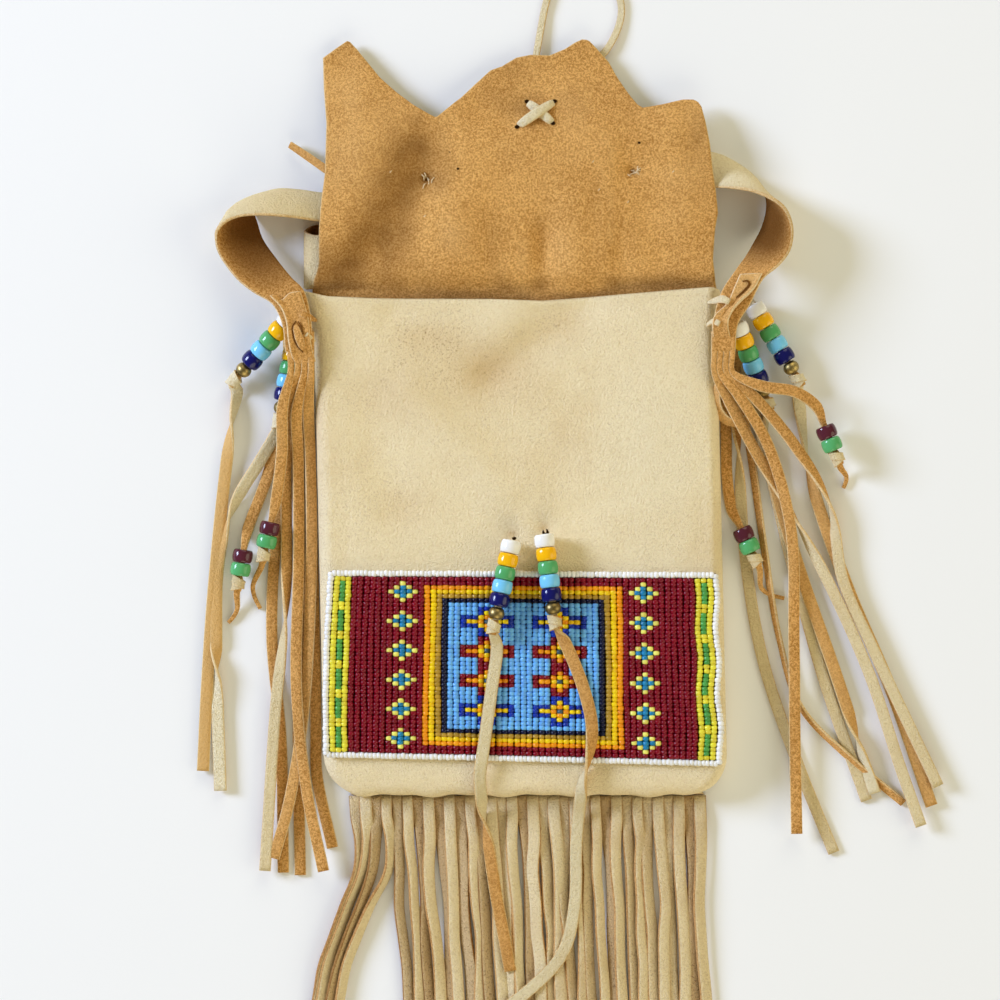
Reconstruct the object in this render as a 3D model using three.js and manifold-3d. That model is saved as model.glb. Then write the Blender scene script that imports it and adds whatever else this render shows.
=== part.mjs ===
// Fringed leather shoulder bag with a beadwork panel, lying on its back with the flap thrown open.
// Millimetres, +Z up out of the front of the bag, +Y towards the flap, +X to the right.
import * as THREE from "three";
import { mergeVertices } from "three/addons/utils/BufferGeometryUtils.js";
import Module from "manifold-3d";

const wasm = await Module();
wasm.setup();
const { Manifold, Mesh: SolidMesh } = wasm;

// Driving dimensions: the hide
const LEATHER = 1.4;
const SEAT = 0.3;
const BAG_WIDTH = 161.5;
const BAG_HEIGHT = 201;
const BAG_DEPTH = 13;
const BAG_LEAN = 4.5;
const CORNER_RADIUS = 16;
const EDGE_ROUND = 4;
const FLAP_LENGTH = 100.8;
const FLAP_HEIGHT = 10.6;
const FLAP_RISE = 11;
const FLAP_TIP_HEIGHT = 3;
const FLAP_INSET_LEFT = 2.1;
const FLAP_INSET_RIGHT = 1.2;
const STRAP_WIDTH = 17;
const STRAP_NECK = 13.2;
const NECK_OUT_LEFT = 4.9;
const NECK_OUT_RIGHT = 5.9;

// Driving dimensions: strips and laces
const STRIP_WIDTH = 4.6;
const STRIP_THICKNESS = 1.2;
const FRINGE_STRIPS = 34;
const FRINGE_PITCH = 4.2;
const FRINGE_STRIP_WIDTH = 3.7;
const FRINGE_LENGTH = 200;
const FRINGE_HEADER = 6;
const LACE_WIDTH = 5;
const LACE_THICKNESS = 1.2;
const LACE_ROLLED_WIDTH = 2.6;
const LACE_ROLLED_THICKNESS = 1.4;
const KNOT_WIDTH = 4.8;
const KNOT_THICKNESS = 4;
const FLAP_LACE_WIDTH = 2.8;
const FLAP_LACE_THICKNESS = 1;
const LACE_HOLE = 4.8;
const STITCH_HOLE = 5.8;

// Driving dimensions: beads
const PONY_DIAMETER = 8.2;
const PONY_LENGTH = 5.1;
const PONY_HOLE = 4.2;
const BRASS_DIAMETER = 6.4;
const SEED_COLUMN = 2.42;
const SEED_ROW = 1.69;
const EDGING_WIDTH = 3;
const STRIPE_COLUMNS = 3;
const RED_COLUMNS = 12;
const FRAME_COLUMNS = 4;
const BLUE_COLUMNS = 25;
const BEAD_ROWS = 42;
const RED_ROWS = 2;
const MOTIF_ROWS = 7;
const BEADWORK_TOP = 111;
const GROUND_THICKNESS = 0.5;
const SEED_THICKNESS = 1.1;

// Colours: grain side, flesh side and beads
const GRAIN = 0xe8d8b0;
const SUEDE = 0xb98043;
const BEAD_COLOURS = {
  white: 0xf2f0ea,
  yellow: 0xf2b90c,
  green: 0x3e9a52,
  light_blue: 0x6ec3ee,
  navy: 0x14185e,
  brass: 0x8a7a4a,
  purple: 0x4a1a26,
};

const group = new THREE.Group();
group.name = "beaded_fringe_shoulder_bag";
const UP = new THREE.Vector3(0, 0, 1);
const vec = (x, y, z) => new THREE.Vector3(x, y, z);
const FOLD = BAG_HEIGHT / 2;
const LOWEST = 0.1;
const leanX = (y) => (-BAG_LEAN * y) / BAG_HEIGHT;

function add(name, geometry, colour, roughness) {
  const material = new THREE.MeshStandardMaterial({ color: colour, roughness, metalness: 0 });
  const mesh = new THREE.Mesh(geometry, material);
  mesh.name = name;
  group.add(mesh);
  return mesh;
}

function meshOf(positions, faces) {
  const geometry = new THREE.BufferGeometry();
  geometry.setAttribute("position", new THREE.Float32BufferAttribute(positions, 3));
  geometry.setIndex(faces);
  return geometry;
}

function toSolid(geometry) {
  const bare = new THREE.BufferGeometry();
  bare.setAttribute("position", geometry.attributes.position.clone());
  if (geometry.index) bare.setIndex(geometry.index.clone());
  const joined = mergeVertices(bare, 1e-4);
  const solid = new SolidMesh({
    numProp: 3,
    vertProperties: new Float32Array(joined.attributes.position.array),
    triVerts: new Uint32Array(joined.index.array),
  });
  solid.merge();
  return new Manifold(solid);
}

function fromSolid(solid) {
  const mesh = solid.getMesh();
  return meshOf(Array.from(mesh.vertProperties), Array.from(mesh.triVerts));
}

// Solid of a strip of leather: a flat section carried along stations of centre, width and thickness.
// Where no direction across is given the strip turns as little as it can and settles flat.
function stripOfLeather(stations, stepsPerSpan, firstAcross) {
  const line = new THREE.CatmullRomCurve3(stations.map((s) => s.at), false, "centripetal");
  const spans = stations.length - 1;
  const count = spans * stepsPerSpan;
  const positions = [];
  const faces = [];
  let across = firstAcross ? firstAcross.clone() : null;
  for (let i = 0; i <= count; i += 1) {
    const t = i / count;
    const span = Math.min(Math.floor(t * spans + 1e-9), spans - 1);
    const share = t * spans - span;
    const from = stations[span];
    const to = stations[span + 1];
    const centre = line.getPoint(t);
    const along = line.getTangent(t);
    const width = THREE.MathUtils.lerp(from.width, to.width, share);
    const thick = THREE.MathUtils.lerp(from.thick, to.thick, share);
    centre.z = Math.max(centre.z, thick / 2 + LOWEST);
    if (from.across) {
      across = from.across.clone().lerp(to.across, share);
    } else if (Math.abs(along.z) < 0.75) {
      const flat = UP.clone().cross(along).normalize();
      if (flat.dot(across) < 0) flat.negate();
      across.lerp(flat, 0.35);
    }
    across.addScaledVector(along, -across.dot(along)).normalize();
    const face = along.clone().cross(across).normalize();
    for (const [a, b] of [[1, 1], [-1, 1], [-1, -1], [1, -1]]) {
      const corner = centre.clone();
      corner.addScaledVector(across, (a * width) / 2);
      corner.addScaledVector(face, (b * thick) / 2);
      positions.push(corner.x, corner.y, corner.z);
    }
    if (i < count) {
      for (let k = 0; k < 4; k += 1) {
        const a = 4 * i + k;
        const b = 4 * i + ((k + 1) % 4);
        faces.push(a, b, b + 4, a, b + 4, a + 4);
      }
    }
  }
  const last = 4 * count;
  faces.push(0, 2, 1, 0, 3, 2);
  faces.push(last, last + 1, last + 2, last, last + 2, last + 3);
  return meshOf(positions, faces);
}

// Prism on a plan outline between two heights
function prism(outline, low, high, holes = []) {
  const shape = new THREE.Shape(outline.map(([x, y]) => new THREE.Vector2(x, y)));
  for (const hole of holes) {
    shape.holes.push(new THREE.Path(hole.map(([x, y]) => new THREE.Vector2(x, y))));
  }
  const geometry = new THREE.ExtrudeGeometry(shape, { depth: high - low, bevelEnabled: false });
  return geometry.translate(0, 0, low);
}

// Round cutter for a lace hole, from one point to another
function cutter(from, to, diameter) {
  const along = to.clone().sub(from);
  const geometry = new THREE.CylinderGeometry(diameter / 2, diameter / 2, along.length(), 8);
  const turn = new THREE.Quaternion().setFromUnitVectors(vec(0, 1, 0), along.clone().normalize());
  geometry.applyQuaternion(turn);
  geometry.translate((from.x + to.x) / 2, (from.y + to.y) / 2, (from.z + to.z) / 2);
  return toSolid(geometry);
}

// Back panel: flat hide on the resting surface, cut short at the bottom for the fringe header
const backBottom = -FOLD + FRINGE_HEADER;
function bodyHalfWidth(y) {
  const rise = Math.min(y + FOLD, CORNER_RADIUS);
  const inset = CORNER_RADIUS - Math.sqrt(CORNER_RADIUS ** 2 - (CORNER_RADIUS - rise) ** 2);
  return BAG_WIDTH / 2 - inset;
}
const backOutline = [];
const cornerSteps = [0, 0.2, 0.45, 0.75, 1];
for (const step of cornerSteps) {
  const y = backBottom + step * (CORNER_RADIUS - FRINGE_HEADER);
  backOutline.push([leanX(y) + bodyHalfWidth(y), y]);
}
backOutline.push([leanX(FOLD) + BAG_WIDTH / 2, FOLD]);
backOutline.push([leanX(FOLD) - BAG_WIDTH / 2, FOLD]);
for (const step of [...cornerSteps].reverse()) {
  const y = backBottom + step * (CORNER_RADIUS - FRINGE_HEADER);
  backOutline.push([leanX(y) - bodyHalfWidth(y), y]);
}
add("back_panel", prism(backOutline, 0, LEATHER), SUEDE, 0.9);

// Front panel: a puffed shell on the back panel, open at the mouth and closed round the other edges
const rimHeight = LEATHER + SEAT;
const lipHeight = rimHeight + LEATHER + 0.4;
function frontSection(y, inward) {
  const rise = Math.min((y + FOLD) / CORNER_RADIUS, 1);
  const top = lipHeight + (BAG_DEPTH - lipHeight) * Math.sqrt(1 - (1 - rise) ** 2);
  const round = Math.min(EDGE_ROUND, top - rimHeight);
  const half = bodyHalfWidth(y);
  const radius = round - inward;
  const right = [[half - inward, rimHeight]];
  for (const turn of [0, 30, 60, 90]) {
    const angle = THREE.MathUtils.degToRad(turn);
    const out = half - round + radius * Math.cos(angle);
    const up = top - round + radius * Math.sin(angle) + (turn === 0 ? 0.02 : 0);
    right.push([out, up]);
  }
  const left = [...right].reverse().map(([x, z]) => [-x, z]);
  const section = [...right, [half / 3, top - inward], [-half / 3, top - inward], ...left];
  return section.map(([x, z]) => vec(leanX(y) + x, y, z));
}
const frontStations = [0, 0.06, 0.2, 0.42, 0.7, 1].map((share) => share * CORNER_RADIUS - FOLD);
frontStations.push(-FOLD * 0.3, FOLD * 0.3, FOLD);
const frontPositions = [];
const frontFaces = [];
const ringSize = 24;
frontStations.forEach((y, j) => {
  const outer = frontSection(y, 0);
  const inner = frontSection(y, LEATHER).reverse();
  for (const p of [...outer, ...inner]) frontPositions.push(p.x, p.y, p.z);
  if (j === 0) return;
  for (let k = 0; k < ringSize; k += 1) {
    const a = (j - 1) * ringSize + k;
    const b = (j - 1) * ringSize + ((k + 1) % ringSize);
    frontFaces.push(a, a + ringSize, b + ringSize, a, b + ringSize, b);
  }
});
const mouthRing = (frontStations.length - 1) * ringSize;
for (let k = 0; k < ringSize / 2 - 1; k += 1) {
  const a = k;
  const b = k + 1;
  const c = ringSize - 2 - k;
  const d = ringSize - 1 - k;
  frontFaces.push(a, b, c, a, c, d);
  frontFaces.push(mouthRing + a, mouthRing + c, mouthRing + b);
  frontFaces.push(mouthRing + a, mouthRing + d, mouthRing + c);
}

// Lace holes: two for the front tie, two through each side near the mouth
const tieHoles = [vec(-3.4, 3.6, BAG_DEPTH), vec(9.2, 6, BAG_DEPTH)];
const sideHoleHeight = rimHeight + (BAG_DEPTH - rimHeight) * 0.52;
const holeDrops = (side) => (side < 0 ? [3.5, 17] : [3.5, 9.4]);
const sideHole = (side, k) => {
  const y = FOLD - holeDrops(side)[k];
  return vec(leanX(y) + (side * BAG_WIDTH) / 2, y, sideHoleHeight);
};
let front = toSolid(meshOf(frontPositions, frontFaces));
for (const hole of tieHoles) {
  const below = hole.clone().setZ(BAG_DEPTH - 3 * LEATHER);
  front = front.subtract(cutter(below, hole.clone().setZ(BAG_DEPTH + 2), LACE_HOLE));
}
for (const side of [-1, 1]) {
  for (const k of [0, 1]) {
    const hole = sideHole(side, k);
    const inside = hole.clone().setX(hole.x - side * 3 * LEATHER);
    front = front.subtract(cutter(inside, hole.clone().setX(hole.x + side * 2), LACE_HOLE));
  }
}
add("front_panel", fromSolid(front), GRAIN, 0.6);

// Flap: the back panel's hide carried on over the folded strap, with its own natural edge.
// Edge points are shares of the width and of the flap's length.
const flapEdge = [
  [0, 0.94],
  [0.075, 1],
  [0.165, 0.87],
  [0.235, 0.765],
  [0.3, 0.703],
  [0.385, 0.785],
  [0.465, 0.875],
  [0.525, 0.915],
  [0.6, 0.94],
  [0.655, 0.975],
  [0.695, 1],
  [0.73, 0.98],
  [0.762, 0.925],
  [0.805, 0.82],
  [0.85, 0.742],
  [0.92, 0.75],
  [1, 0.76],
];
const flapRoot = FOLD + SEAT;
const smooth = (a, b, x) => THREE.MathUtils.smoothstep(x, a, b);
function flapHeight(reach) {
  const over = FLAP_HEIGHT * smooth(0, FLAP_RISE, reach);
  const share = reach / FLAP_LENGTH;
  const drop = (FLAP_HEIGHT - FLAP_TIP_HEIGHT) * smooth(0.555, 0.913, share);
  return SEAT + over - drop;
}
function flapPoint(u, v) {
  const [, reachShare] = flapEdge[u];
  const reach = v * reachShare * FLAP_LENGTH;
  const along = v * reachShare;
  const leftSide = leanX(FOLD) - BAG_WIDTH / 2 + FLAP_INSET_LEFT + 2 * smooth(0, 0.5, along);
  const rightSide = leanX(FOLD) + BAG_WIDTH / 2 - FLAP_INSET_RIGHT - 6 * smooth(0.2, 0.75, along);
  const x = THREE.MathUtils.lerp(leftSide, rightSide, flapEdge[u][0]);
  return vec(x, flapRoot + reach, flapHeight(reach));
}
const flapRows = [0, 0.035, 0.07, 0.115, 0.3, 0.55, 0.7, 0.85, 1];
const flapPositions = [];
const flapFaces = [];
const acrossCount = flapEdge.length;
const layerSize = acrossCount * flapRows.length;
for (const lift of [0, LEATHER]) {
  for (const v of flapRows) {
    for (let u = 0; u < acrossCount; u += 1) {
      const p = flapPoint(u, v);
      flapPositions.push(p.x, p.y, p.z + lift);
    }
  }
}
for (let j = 0; j < flapRows.length - 1; j += 1) {
  for (let u = 0; u < acrossCount - 1; u += 1) {
    const a = j * acrossCount + u;
    const b = a + 1;
    const c = b + acrossCount;
    const d = a + acrossCount;
    flapFaces.push(a, d, c, a, c, b);
    flapFaces.push(layerSize + a, layerSize + b, layerSize + c);
    flapFaces.push(layerSize + a, layerSize + c, layerSize + d);
  }
}
function flapRim(a, b) {
  flapFaces.push(a, b, layerSize + b, a, layerSize + b, layerSize + a);
}
const topRow = (flapRows.length - 1) * acrossCount;
for (let u = 0; u < acrossCount - 1; u += 1) {
  flapRim(u, u + 1);
  flapRim(topRow + u + 1, topRow + u);
}
for (let j = 0; j < flapRows.length - 1; j += 1) {
  flapRim((j + 1) * acrossCount, j * acrossCount);
  flapRim(j * acrossCount + acrossCount - 1, (j + 1) * acrossCount + acrossCount - 1);
}

// Cross stitch of the flap lace: two arms on the flesh side, drawn down through four holes
const stitchCentre = vec(6.6, flapRoot + 0.71 * FLAP_LENGTH, 0);
const stitchHoles = [
  [-3.6, 4.2],
  [6.2, -4],
  [-7.6, -5.4],
  [7, 4.6],
].map(([dx, dy]) => vec(stitchCentre.x + dx, stitchCentre.y + dy, 0));
let flap = toSolid(meshOf(flapPositions, flapFaces));
for (const hole of stitchHoles) {
  flap = flap.subtract(cutter(hole, hole.clone().setZ(2 * FLAP_HEIGHT), STITCH_HOLE));
}
add("flap", fromSolid(flap), SUEDE, 0.95);

// Bottom fringe: a header under the front panel's lip and a row of cut strips lying on two levels
const headerHalf = (FRINGE_STRIPS * FRINGE_PITCH) / 2;
const headerTop = -FOLD + FRINGE_HEADER - SEAT;
const headerX = leanX(-FOLD) + 0.5;
const headerOutline = [
  [headerX - headerHalf, -FOLD - 2],
  [headerX + headerHalf, -FOLD - 2],
  [headerX + headerHalf - 2, headerTop],
  [headerX - headerHalf + 2, headerTop],
];
let fringe = toSolid(prism(headerOutline, 0.1, 0.1 + STRIP_THICKNESS));
for (let k = 0; k < FRINGE_STRIPS; k += 1) {
  const root = headerX + (k - (FRINGE_STRIPS - 1) / 2) * FRINGE_PITCH;
  const lift = (k % 2) * (STRIP_THICKNESS + SEAT);
  const drift = k < 3 ? -26 - 2 * k : 13 - 0.22 * k;
  const stations = [];
  for (const [share, wave] of [[0, 0], [0.04, 0], [0.22, 1], [0.45, 0.4], [0.72, -1], [1, 0.6]]) {
    const sway = 1.4 * wave * Math.sin(k * 2.4 + 5 * share);
    const length = FRINGE_LENGTH * (1 + 0.02 * Math.sin(k * 5.1));
    const settle = share < 0.03 ? 0 : lift;
    const height = 0.1 + STRIP_THICKNESS / 2 + settle;
    const at = vec(root + drift * share + sway, -FOLD - 1 - share * length, height);
    stations.push({ at, width: FRINGE_STRIP_WIDTH, thick: STRIP_THICKNESS });
  }
  fringe = fringe.add(toSolid(stripOfLeather(stations, 1, vec(1, 0, 0))));
}
add("bottom_fringe", fromSolid(fringe), GRAIN, 0.7);

// Pony beads: short moulded barrels, and round brass beads at the ends of the strings
function ponyBead() {
  const r = PONY_DIAMETER / 2;
  const h = PONY_LENGTH / 2;
  const hole = PONY_HOLE / 2;
  const profile = [[hole, -h], [r * 0.8, -h], [r, 0], [r * 0.8, h], [hole, h], [hole, -h]];
  return new THREE.LatheGeometry(profile.map(([x, y]) => new THREE.Vector2(x, y)), 8);
}
function brassBead() {
  const r = BRASS_DIAMETER / 2;
  const h = PONY_LENGTH / 2;
  const hole = PONY_HOLE / 2 - 0.2;
  const profile = [[hole, -h], [r * 0.8, -h * 0.8], [r, 0], [r * 0.8, h * 0.8], [hole, h], [hole, -h]];
  return new THREE.LatheGeometry(profile.map(([x, y]) => new THREE.Vector2(x, y)), 8);
}
const BEAD_STEP = PONY_LENGTH + SEAT;
function placeBead(name, colour, at, along) {
  const geometry = colour === "brass" ? brassBead() : ponyBead();
  geometry.applyQuaternion(new THREE.Quaternion().setFromUnitVectors(vec(0, 1, 0), along));
  geometry.translate(at.x, at.y, at.z);
  const mesh = add(name, geometry, BEAD_COLOURS[colour], colour === "brass" ? 0.4 : 0.25);
  if (colour === "brass") mesh.material.metalness = 0.9;
}
const STRING_COLOURS = ["white", "yellow", "green", "light_blue", "navy", "brass"];
const STRING_LENGTH = STRING_COLOURS.length * BEAD_STEP;
function stringBeads(name, start, along) {
  STRING_COLOURS.forEach((colour, k) => {
    const at = start.clone().addScaledVector(along, (k + 0.5) * BEAD_STEP);
    placeBead(`${name}_${colour}_bead`, colour, at, along);
  });
}

// Lace stations: rolled narrow inside the beads, a knot, then the flat tail
const rolled = (at) => ({ at, width: LACE_ROLLED_WIDTH, thick: LACE_ROLLED_THICKNESS });
const flatLace = (at) => ({ at, width: LACE_WIDTH, thick: LACE_THICKNESS });
const knot = (at) => ({ at, width: KNOT_WIDTH, thick: KNOT_THICKNESS });
function stringStations(start, along, tail) {
  const stations = [];
  const point = (d) => start.clone().addScaledVector(along, d);
  for (const share of [-0.03, 0.06, 0.5, 1]) stations.push(rolled(point(share * STRING_LENGTH)));
  stations.push(knot(point(STRING_LENGTH + 1.6)), knot(point(STRING_LENGTH + 4.6)));
  const end = point(STRING_LENGTH + 4.6);
  for (const [dx, dy, z] of tail) stations.push(flatLace(vec(end.x + dx, end.y + dy, z)));
  return stations;
}

// Front tie: one lace through two holes, six beads and a tail on each half, lying on the beadwork
const beadworkTop = BAG_DEPTH + 2 * SEAT + GROUND_THICKNESS + SEED_THICKNESS + 2 * SEAT;
const onPanel = beadworkTop + SEAT + LACE_THICKNESS / 2 + 0.5;
const onFringe = 0.1 + 2 * STRIP_THICKNESS + 2 * SEAT + LACE_THICKNESS / 2 + 0.4;
const restingString = beadworkTop + SEAT + PONY_DIAMETER / 2;
function frontString(hole, slant) {
  const start = vec(hole.x, hole.y - 2.6, restingString);
  const end = vec(hole.x + slant, hole.y - STRING_LENGTH, restingString + 0.4);
  return { start, along: end.sub(start).normalize() };
}
const leftTie = frontString(tieHoles[0], -6.4);
const rightTie = frontString(tieHoles[1], 3.8);
stringBeads("front_left", leftTie.start, leftTie.along);
stringBeads("front_right", rightTie.start, rightTie.along);
const leftTail = [
  [1.6, -6, onPanel],
  [-0.6, -24, onPanel],
  [-3.6, -46, onPanel],
  [-5.2, -58, onPanel - 0.6],
  [-4.6, -67, onFringe + 8],
  [-4, -73, onFringe + 2.4],
  [-2.4, -82, onFringe],
  [1.2, -106, onFringe],
  [4.6, -124, onFringe],
  [7, -137, onFringe],
];
const rightTail = [
  [3.6, -6, onPanel],
  [11, -24, onPanel],
  [14.6, -40, onPanel],
  [13.2, -54, onPanel],
  [11, -62, onPanel - 1.4],
  [10.2, -69, onFringe + 6],
  [9.6, -76, onFringe + 1],
  [8.6, -88, onFringe],
  [8, -112, onFringe],
  [3, -132, onFringe],
  [-12, -148, onFringe],
  [-32, -162, onFringe],
  [-48, -176, onFringe],
];
const underFront = BAG_DEPTH - LEATHER - LACE_ROLLED_THICKNESS / 2 - 0.8;
const tieStations = [
  ...stringStations(leftTie.start, leftTie.along, leftTail).reverse(),
  rolled(vec(tieHoles[0].x, tieHoles[0].y, BAG_DEPTH + 1.6)),
  rolled(vec(tieHoles[0].x, tieHoles[0].y, BAG_DEPTH - LEATHER)),
  rolled(vec(tieHoles[0].x + 3.4, tieHoles[0].y + 0.7, underFront)),
  rolled(vec(tieHoles[1].x - 3.4, tieHoles[1].y - 0.7, underFront)),
  rolled(vec(tieHoles[1].x, tieHoles[1].y, BAG_DEPTH - LEATHER)),
  rolled(vec(tieHoles[1].x, tieHoles[1].y, BAG_DEPTH + 1.6)),
  ...stringStations(rightTie.start, rightTie.along, rightTail),
];
add("front_lace", stripOfLeather(tieStations, 2, vec(1, 0, 0)), GRAIN, 0.7);

// Heights at the sides: cut strips on the ground, lace tails over them, strap strips on top
const groundLevel = 0.1 + STRIP_THICKNESS / 2;
const tailLevel = groundLevel + STRIP_THICKNESS / 2 + SEAT + LACE_THICKNESS / 2 + 0.2;
const upperLevel = tailLevel + LACE_THICKNESS / 2 + SEAT + STRIP_THICKNESS / 2 + 0.2;
const lowString = PONY_DIAMETER / 2 + STRIP_THICKNESS + 2 * SEAT;
const highString = lowString + PONY_DIAMETER * 0.86;
const neckHeight = highString + PONY_DIAMETER / 2 + SEAT + LEATHER / 2;
const cornerOf = (side) => vec(leanX(FOLD) + (side * BAG_WIDTH) / 2, FOLD, 0);
const beside = (side, dx, dy, z) => vec(leanX(FOLD + dy) + (side * BAG_WIDTH) / 2 + dx, FOLD + dy, z);

// Side strings: each side has one lace through the bag's edge with a beaded string at both ends
function sideLace(side, name, high, low) {
  const place = ([dx, dy], z) => beside(side, dx, dy, z);
  const strings = [
    { part: high, start: place(high.from, highString), end: place(high.to, lowString + 0.6) },
    { part: low, start: place(low.from, lowString), end: place(low.to, lowString) },
  ];
  const ends = strings.map(({ part, start, end }) => {
    const along = end.clone().sub(start).normalize();
    stringBeads(`${name}_${part.label}`, start, along);
    const knotEnd = start.clone().addScaledVector(along, STRING_LENGTH + 4.6);
    const tail = part.tail.map(([dx, dy]) => {
      const at = beside(side, dx, dy, tailLevel);
      return [at.x - knotEnd.x, at.y - knotEnd.y, at.z];
    });
    return { start, along, stations: stringStations(start, along, tail) };
  });
  const path = [...ends[0].stations].reverse();
  const passes = [high, low].map((part) => {
    const hole = sideHole(side, part.hole);
    const outside = hole.clone().setX(hole.x + side * 1.4);
    const middle = hole.clone().setX(hole.x - side * LEATHER);
    const inside = hole.clone().setX(hole.x - side * (LEATHER + 2.8));
    inside.y += part.hole === 0 ? -2.8 : 2.8;
    return [outside, middle, inside].map(rolled);
  });
  path.push(...passes[0], ...passes[1].reverse(), ...ends[1].stations);
  add(`${name}_lace`, stripOfLeather(path, 1, vec(1, 0, 0)), GRAIN, 0.7);
}
sideLace(
  -1,
  "left",
  {
    label: "outer",
    hole: 0,
    from: [-8.6, -9.6],
    to: [-27.8, -30],
    tail: [[-31.9, -39], [-34.1, -51], [-38.7, -83], [-43.4, -123], [-46.6, -159], [-48.9, -192]],
  },
  {
    label: "inner",
    hole: 1,
    from: [-7.4, -17],
    to: [-13.8, -46],
    tail: [[-16.9, -57], [-22.9, -67], [-34, -85], [-40.6, -107], [-42.4, -139], [-42.1, -200]],
  },
);
sideLace(
  1,
  "right",
  {
    label: "inner",
    hole: 1,
    from: [7.4, -12.4],
    to: [17.6, -38.4],
    tail: [[19.4, -47], [19.1, -56], [21.7, -75], [30, -107], [45.5, -155], [59.5, -201]],
  },
  {
    label: "outer",
    hole: 0,
    from: [14.6, -4.6],
    to: [28.8, -29],
    tail: [[32.1, -38], [32.9, -48], [36.7, -75], [50.7, -119], [66.8, -159], [82.2, -206]],
  },
);

// Strips that end in a purple and a green bead, a knot and a short tail
const strip = (at) => ({ at, width: STRIP_WIDTH, thick: STRIP_THICKNESS });
function beadedEnd(name, from, along, length) {
  const point = (d) => from.clone().addScaledVector(along, d);
  ["purple", "green"].forEach((colour, k) => {
    placeBead(`${name}_${colour}_bead`, colour, point((k + 0.5) * BEAD_STEP + 1), along);
  });
  const run = 2 * BEAD_STEP + 1.4;
  return [
    rolled(point(0)),
    rolled(point(run / 2)),
    rolled(point(run)),
    knot(point(run + 1.4)),
    knot(point(run + 4)),
    rolled(point(run + 7).setZ(tailLevel + 2)),
    rolled(point(run + 7 + length).setZ(tailLevel + 0.6)),
  ];
}

// Under fringe: a comb of four strips at each corner of the bag, lying on the ground below the strap
function underFringe(side, name, routes, beadedTo) {
  const corner = cornerOf(side);
  const headWidth = 12;
  const inner = beside(side, side * SEAT * 2, side < 0 ? -14 : -30, 0).x;
  const head = [
    [inner, corner.y - 30],
    [inner + side * headWidth, corner.y - 30],
    [inner + side * headWidth, corner.y - 14],
    [inner, corner.y - 14],
  ];
  let comb = toSolid(prism(side > 0 ? head : head.reverse(), 0.1, 0.1 + STRIP_THICKNESS));
  routes.forEach((route, k) => {
    const rootX = inner + side * ((k + 0.5) / routes.length) * headWidth;
    const stations = [26, 33].map((drop) => strip(vec(rootX, corner.y - drop, groundLevel)));
    for (const s of stations) s.width = headWidth / routes.length - 0.2;
    for (const [dx, dy] of route) stations.push(strip(beside(side, dx, dy, groundLevel)));
    if (k === beadedTo.strip) {
      const last = stations[stations.length - 1].at;
      const along = vec(beadedTo.along[0], beadedTo.along[1], 0).normalize();
      const from = last.clone().addScaledVector(along, 7).setZ(lowString + 0.2);
      stations.push(...beadedEnd(`${name}_under_strip`, from, along, beadedTo.tail));
    }
    comb = comb.add(toSolid(stripOfLeather(stations, 1, vec(side, 0, 0))));
  });
  add(`${name}_under_fringe`, fromSolid(comb), SUEDE, 0.9);
}
underFringe(
  -1,
  "left",
  [
    [[-3, -75], [-3, -139], [-3.2, -176], [-3.2, -194], [2.4, -223]],
    [[-7.8, -75], [-8.2, -123], [-10.4, -179], [-10.8, -234]],
    [[-13, -71], [-18.4, -107], [-20.1, -139], [-17.4, -179], [-17.6, -233]],
    [[-13.8, -50], [-20.6, -74], [-28.8, -95]],
  ],
  { strip: 3, along: [-0.16, -0.98], tail: 5 },
);
underFringe(
  1,
  "right",
  [
    [[3, -55], [3, -74], [4.6, -87]],
    [[7.6, -60], [9.4, -103], [15.7, -147], [28.8, -189], [42.6, -225]],
    [[12.2, -60], [17.3, -103], [22.5, -139], [30.3, -166], [49.8, -187], [71, -205]],
    [[16.8, -55], [28, -107], [40.1, -155], [56.2, -204]],
  ],
  { strip: 0, along: [0.42, -0.91], tail: 12 },
);

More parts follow.
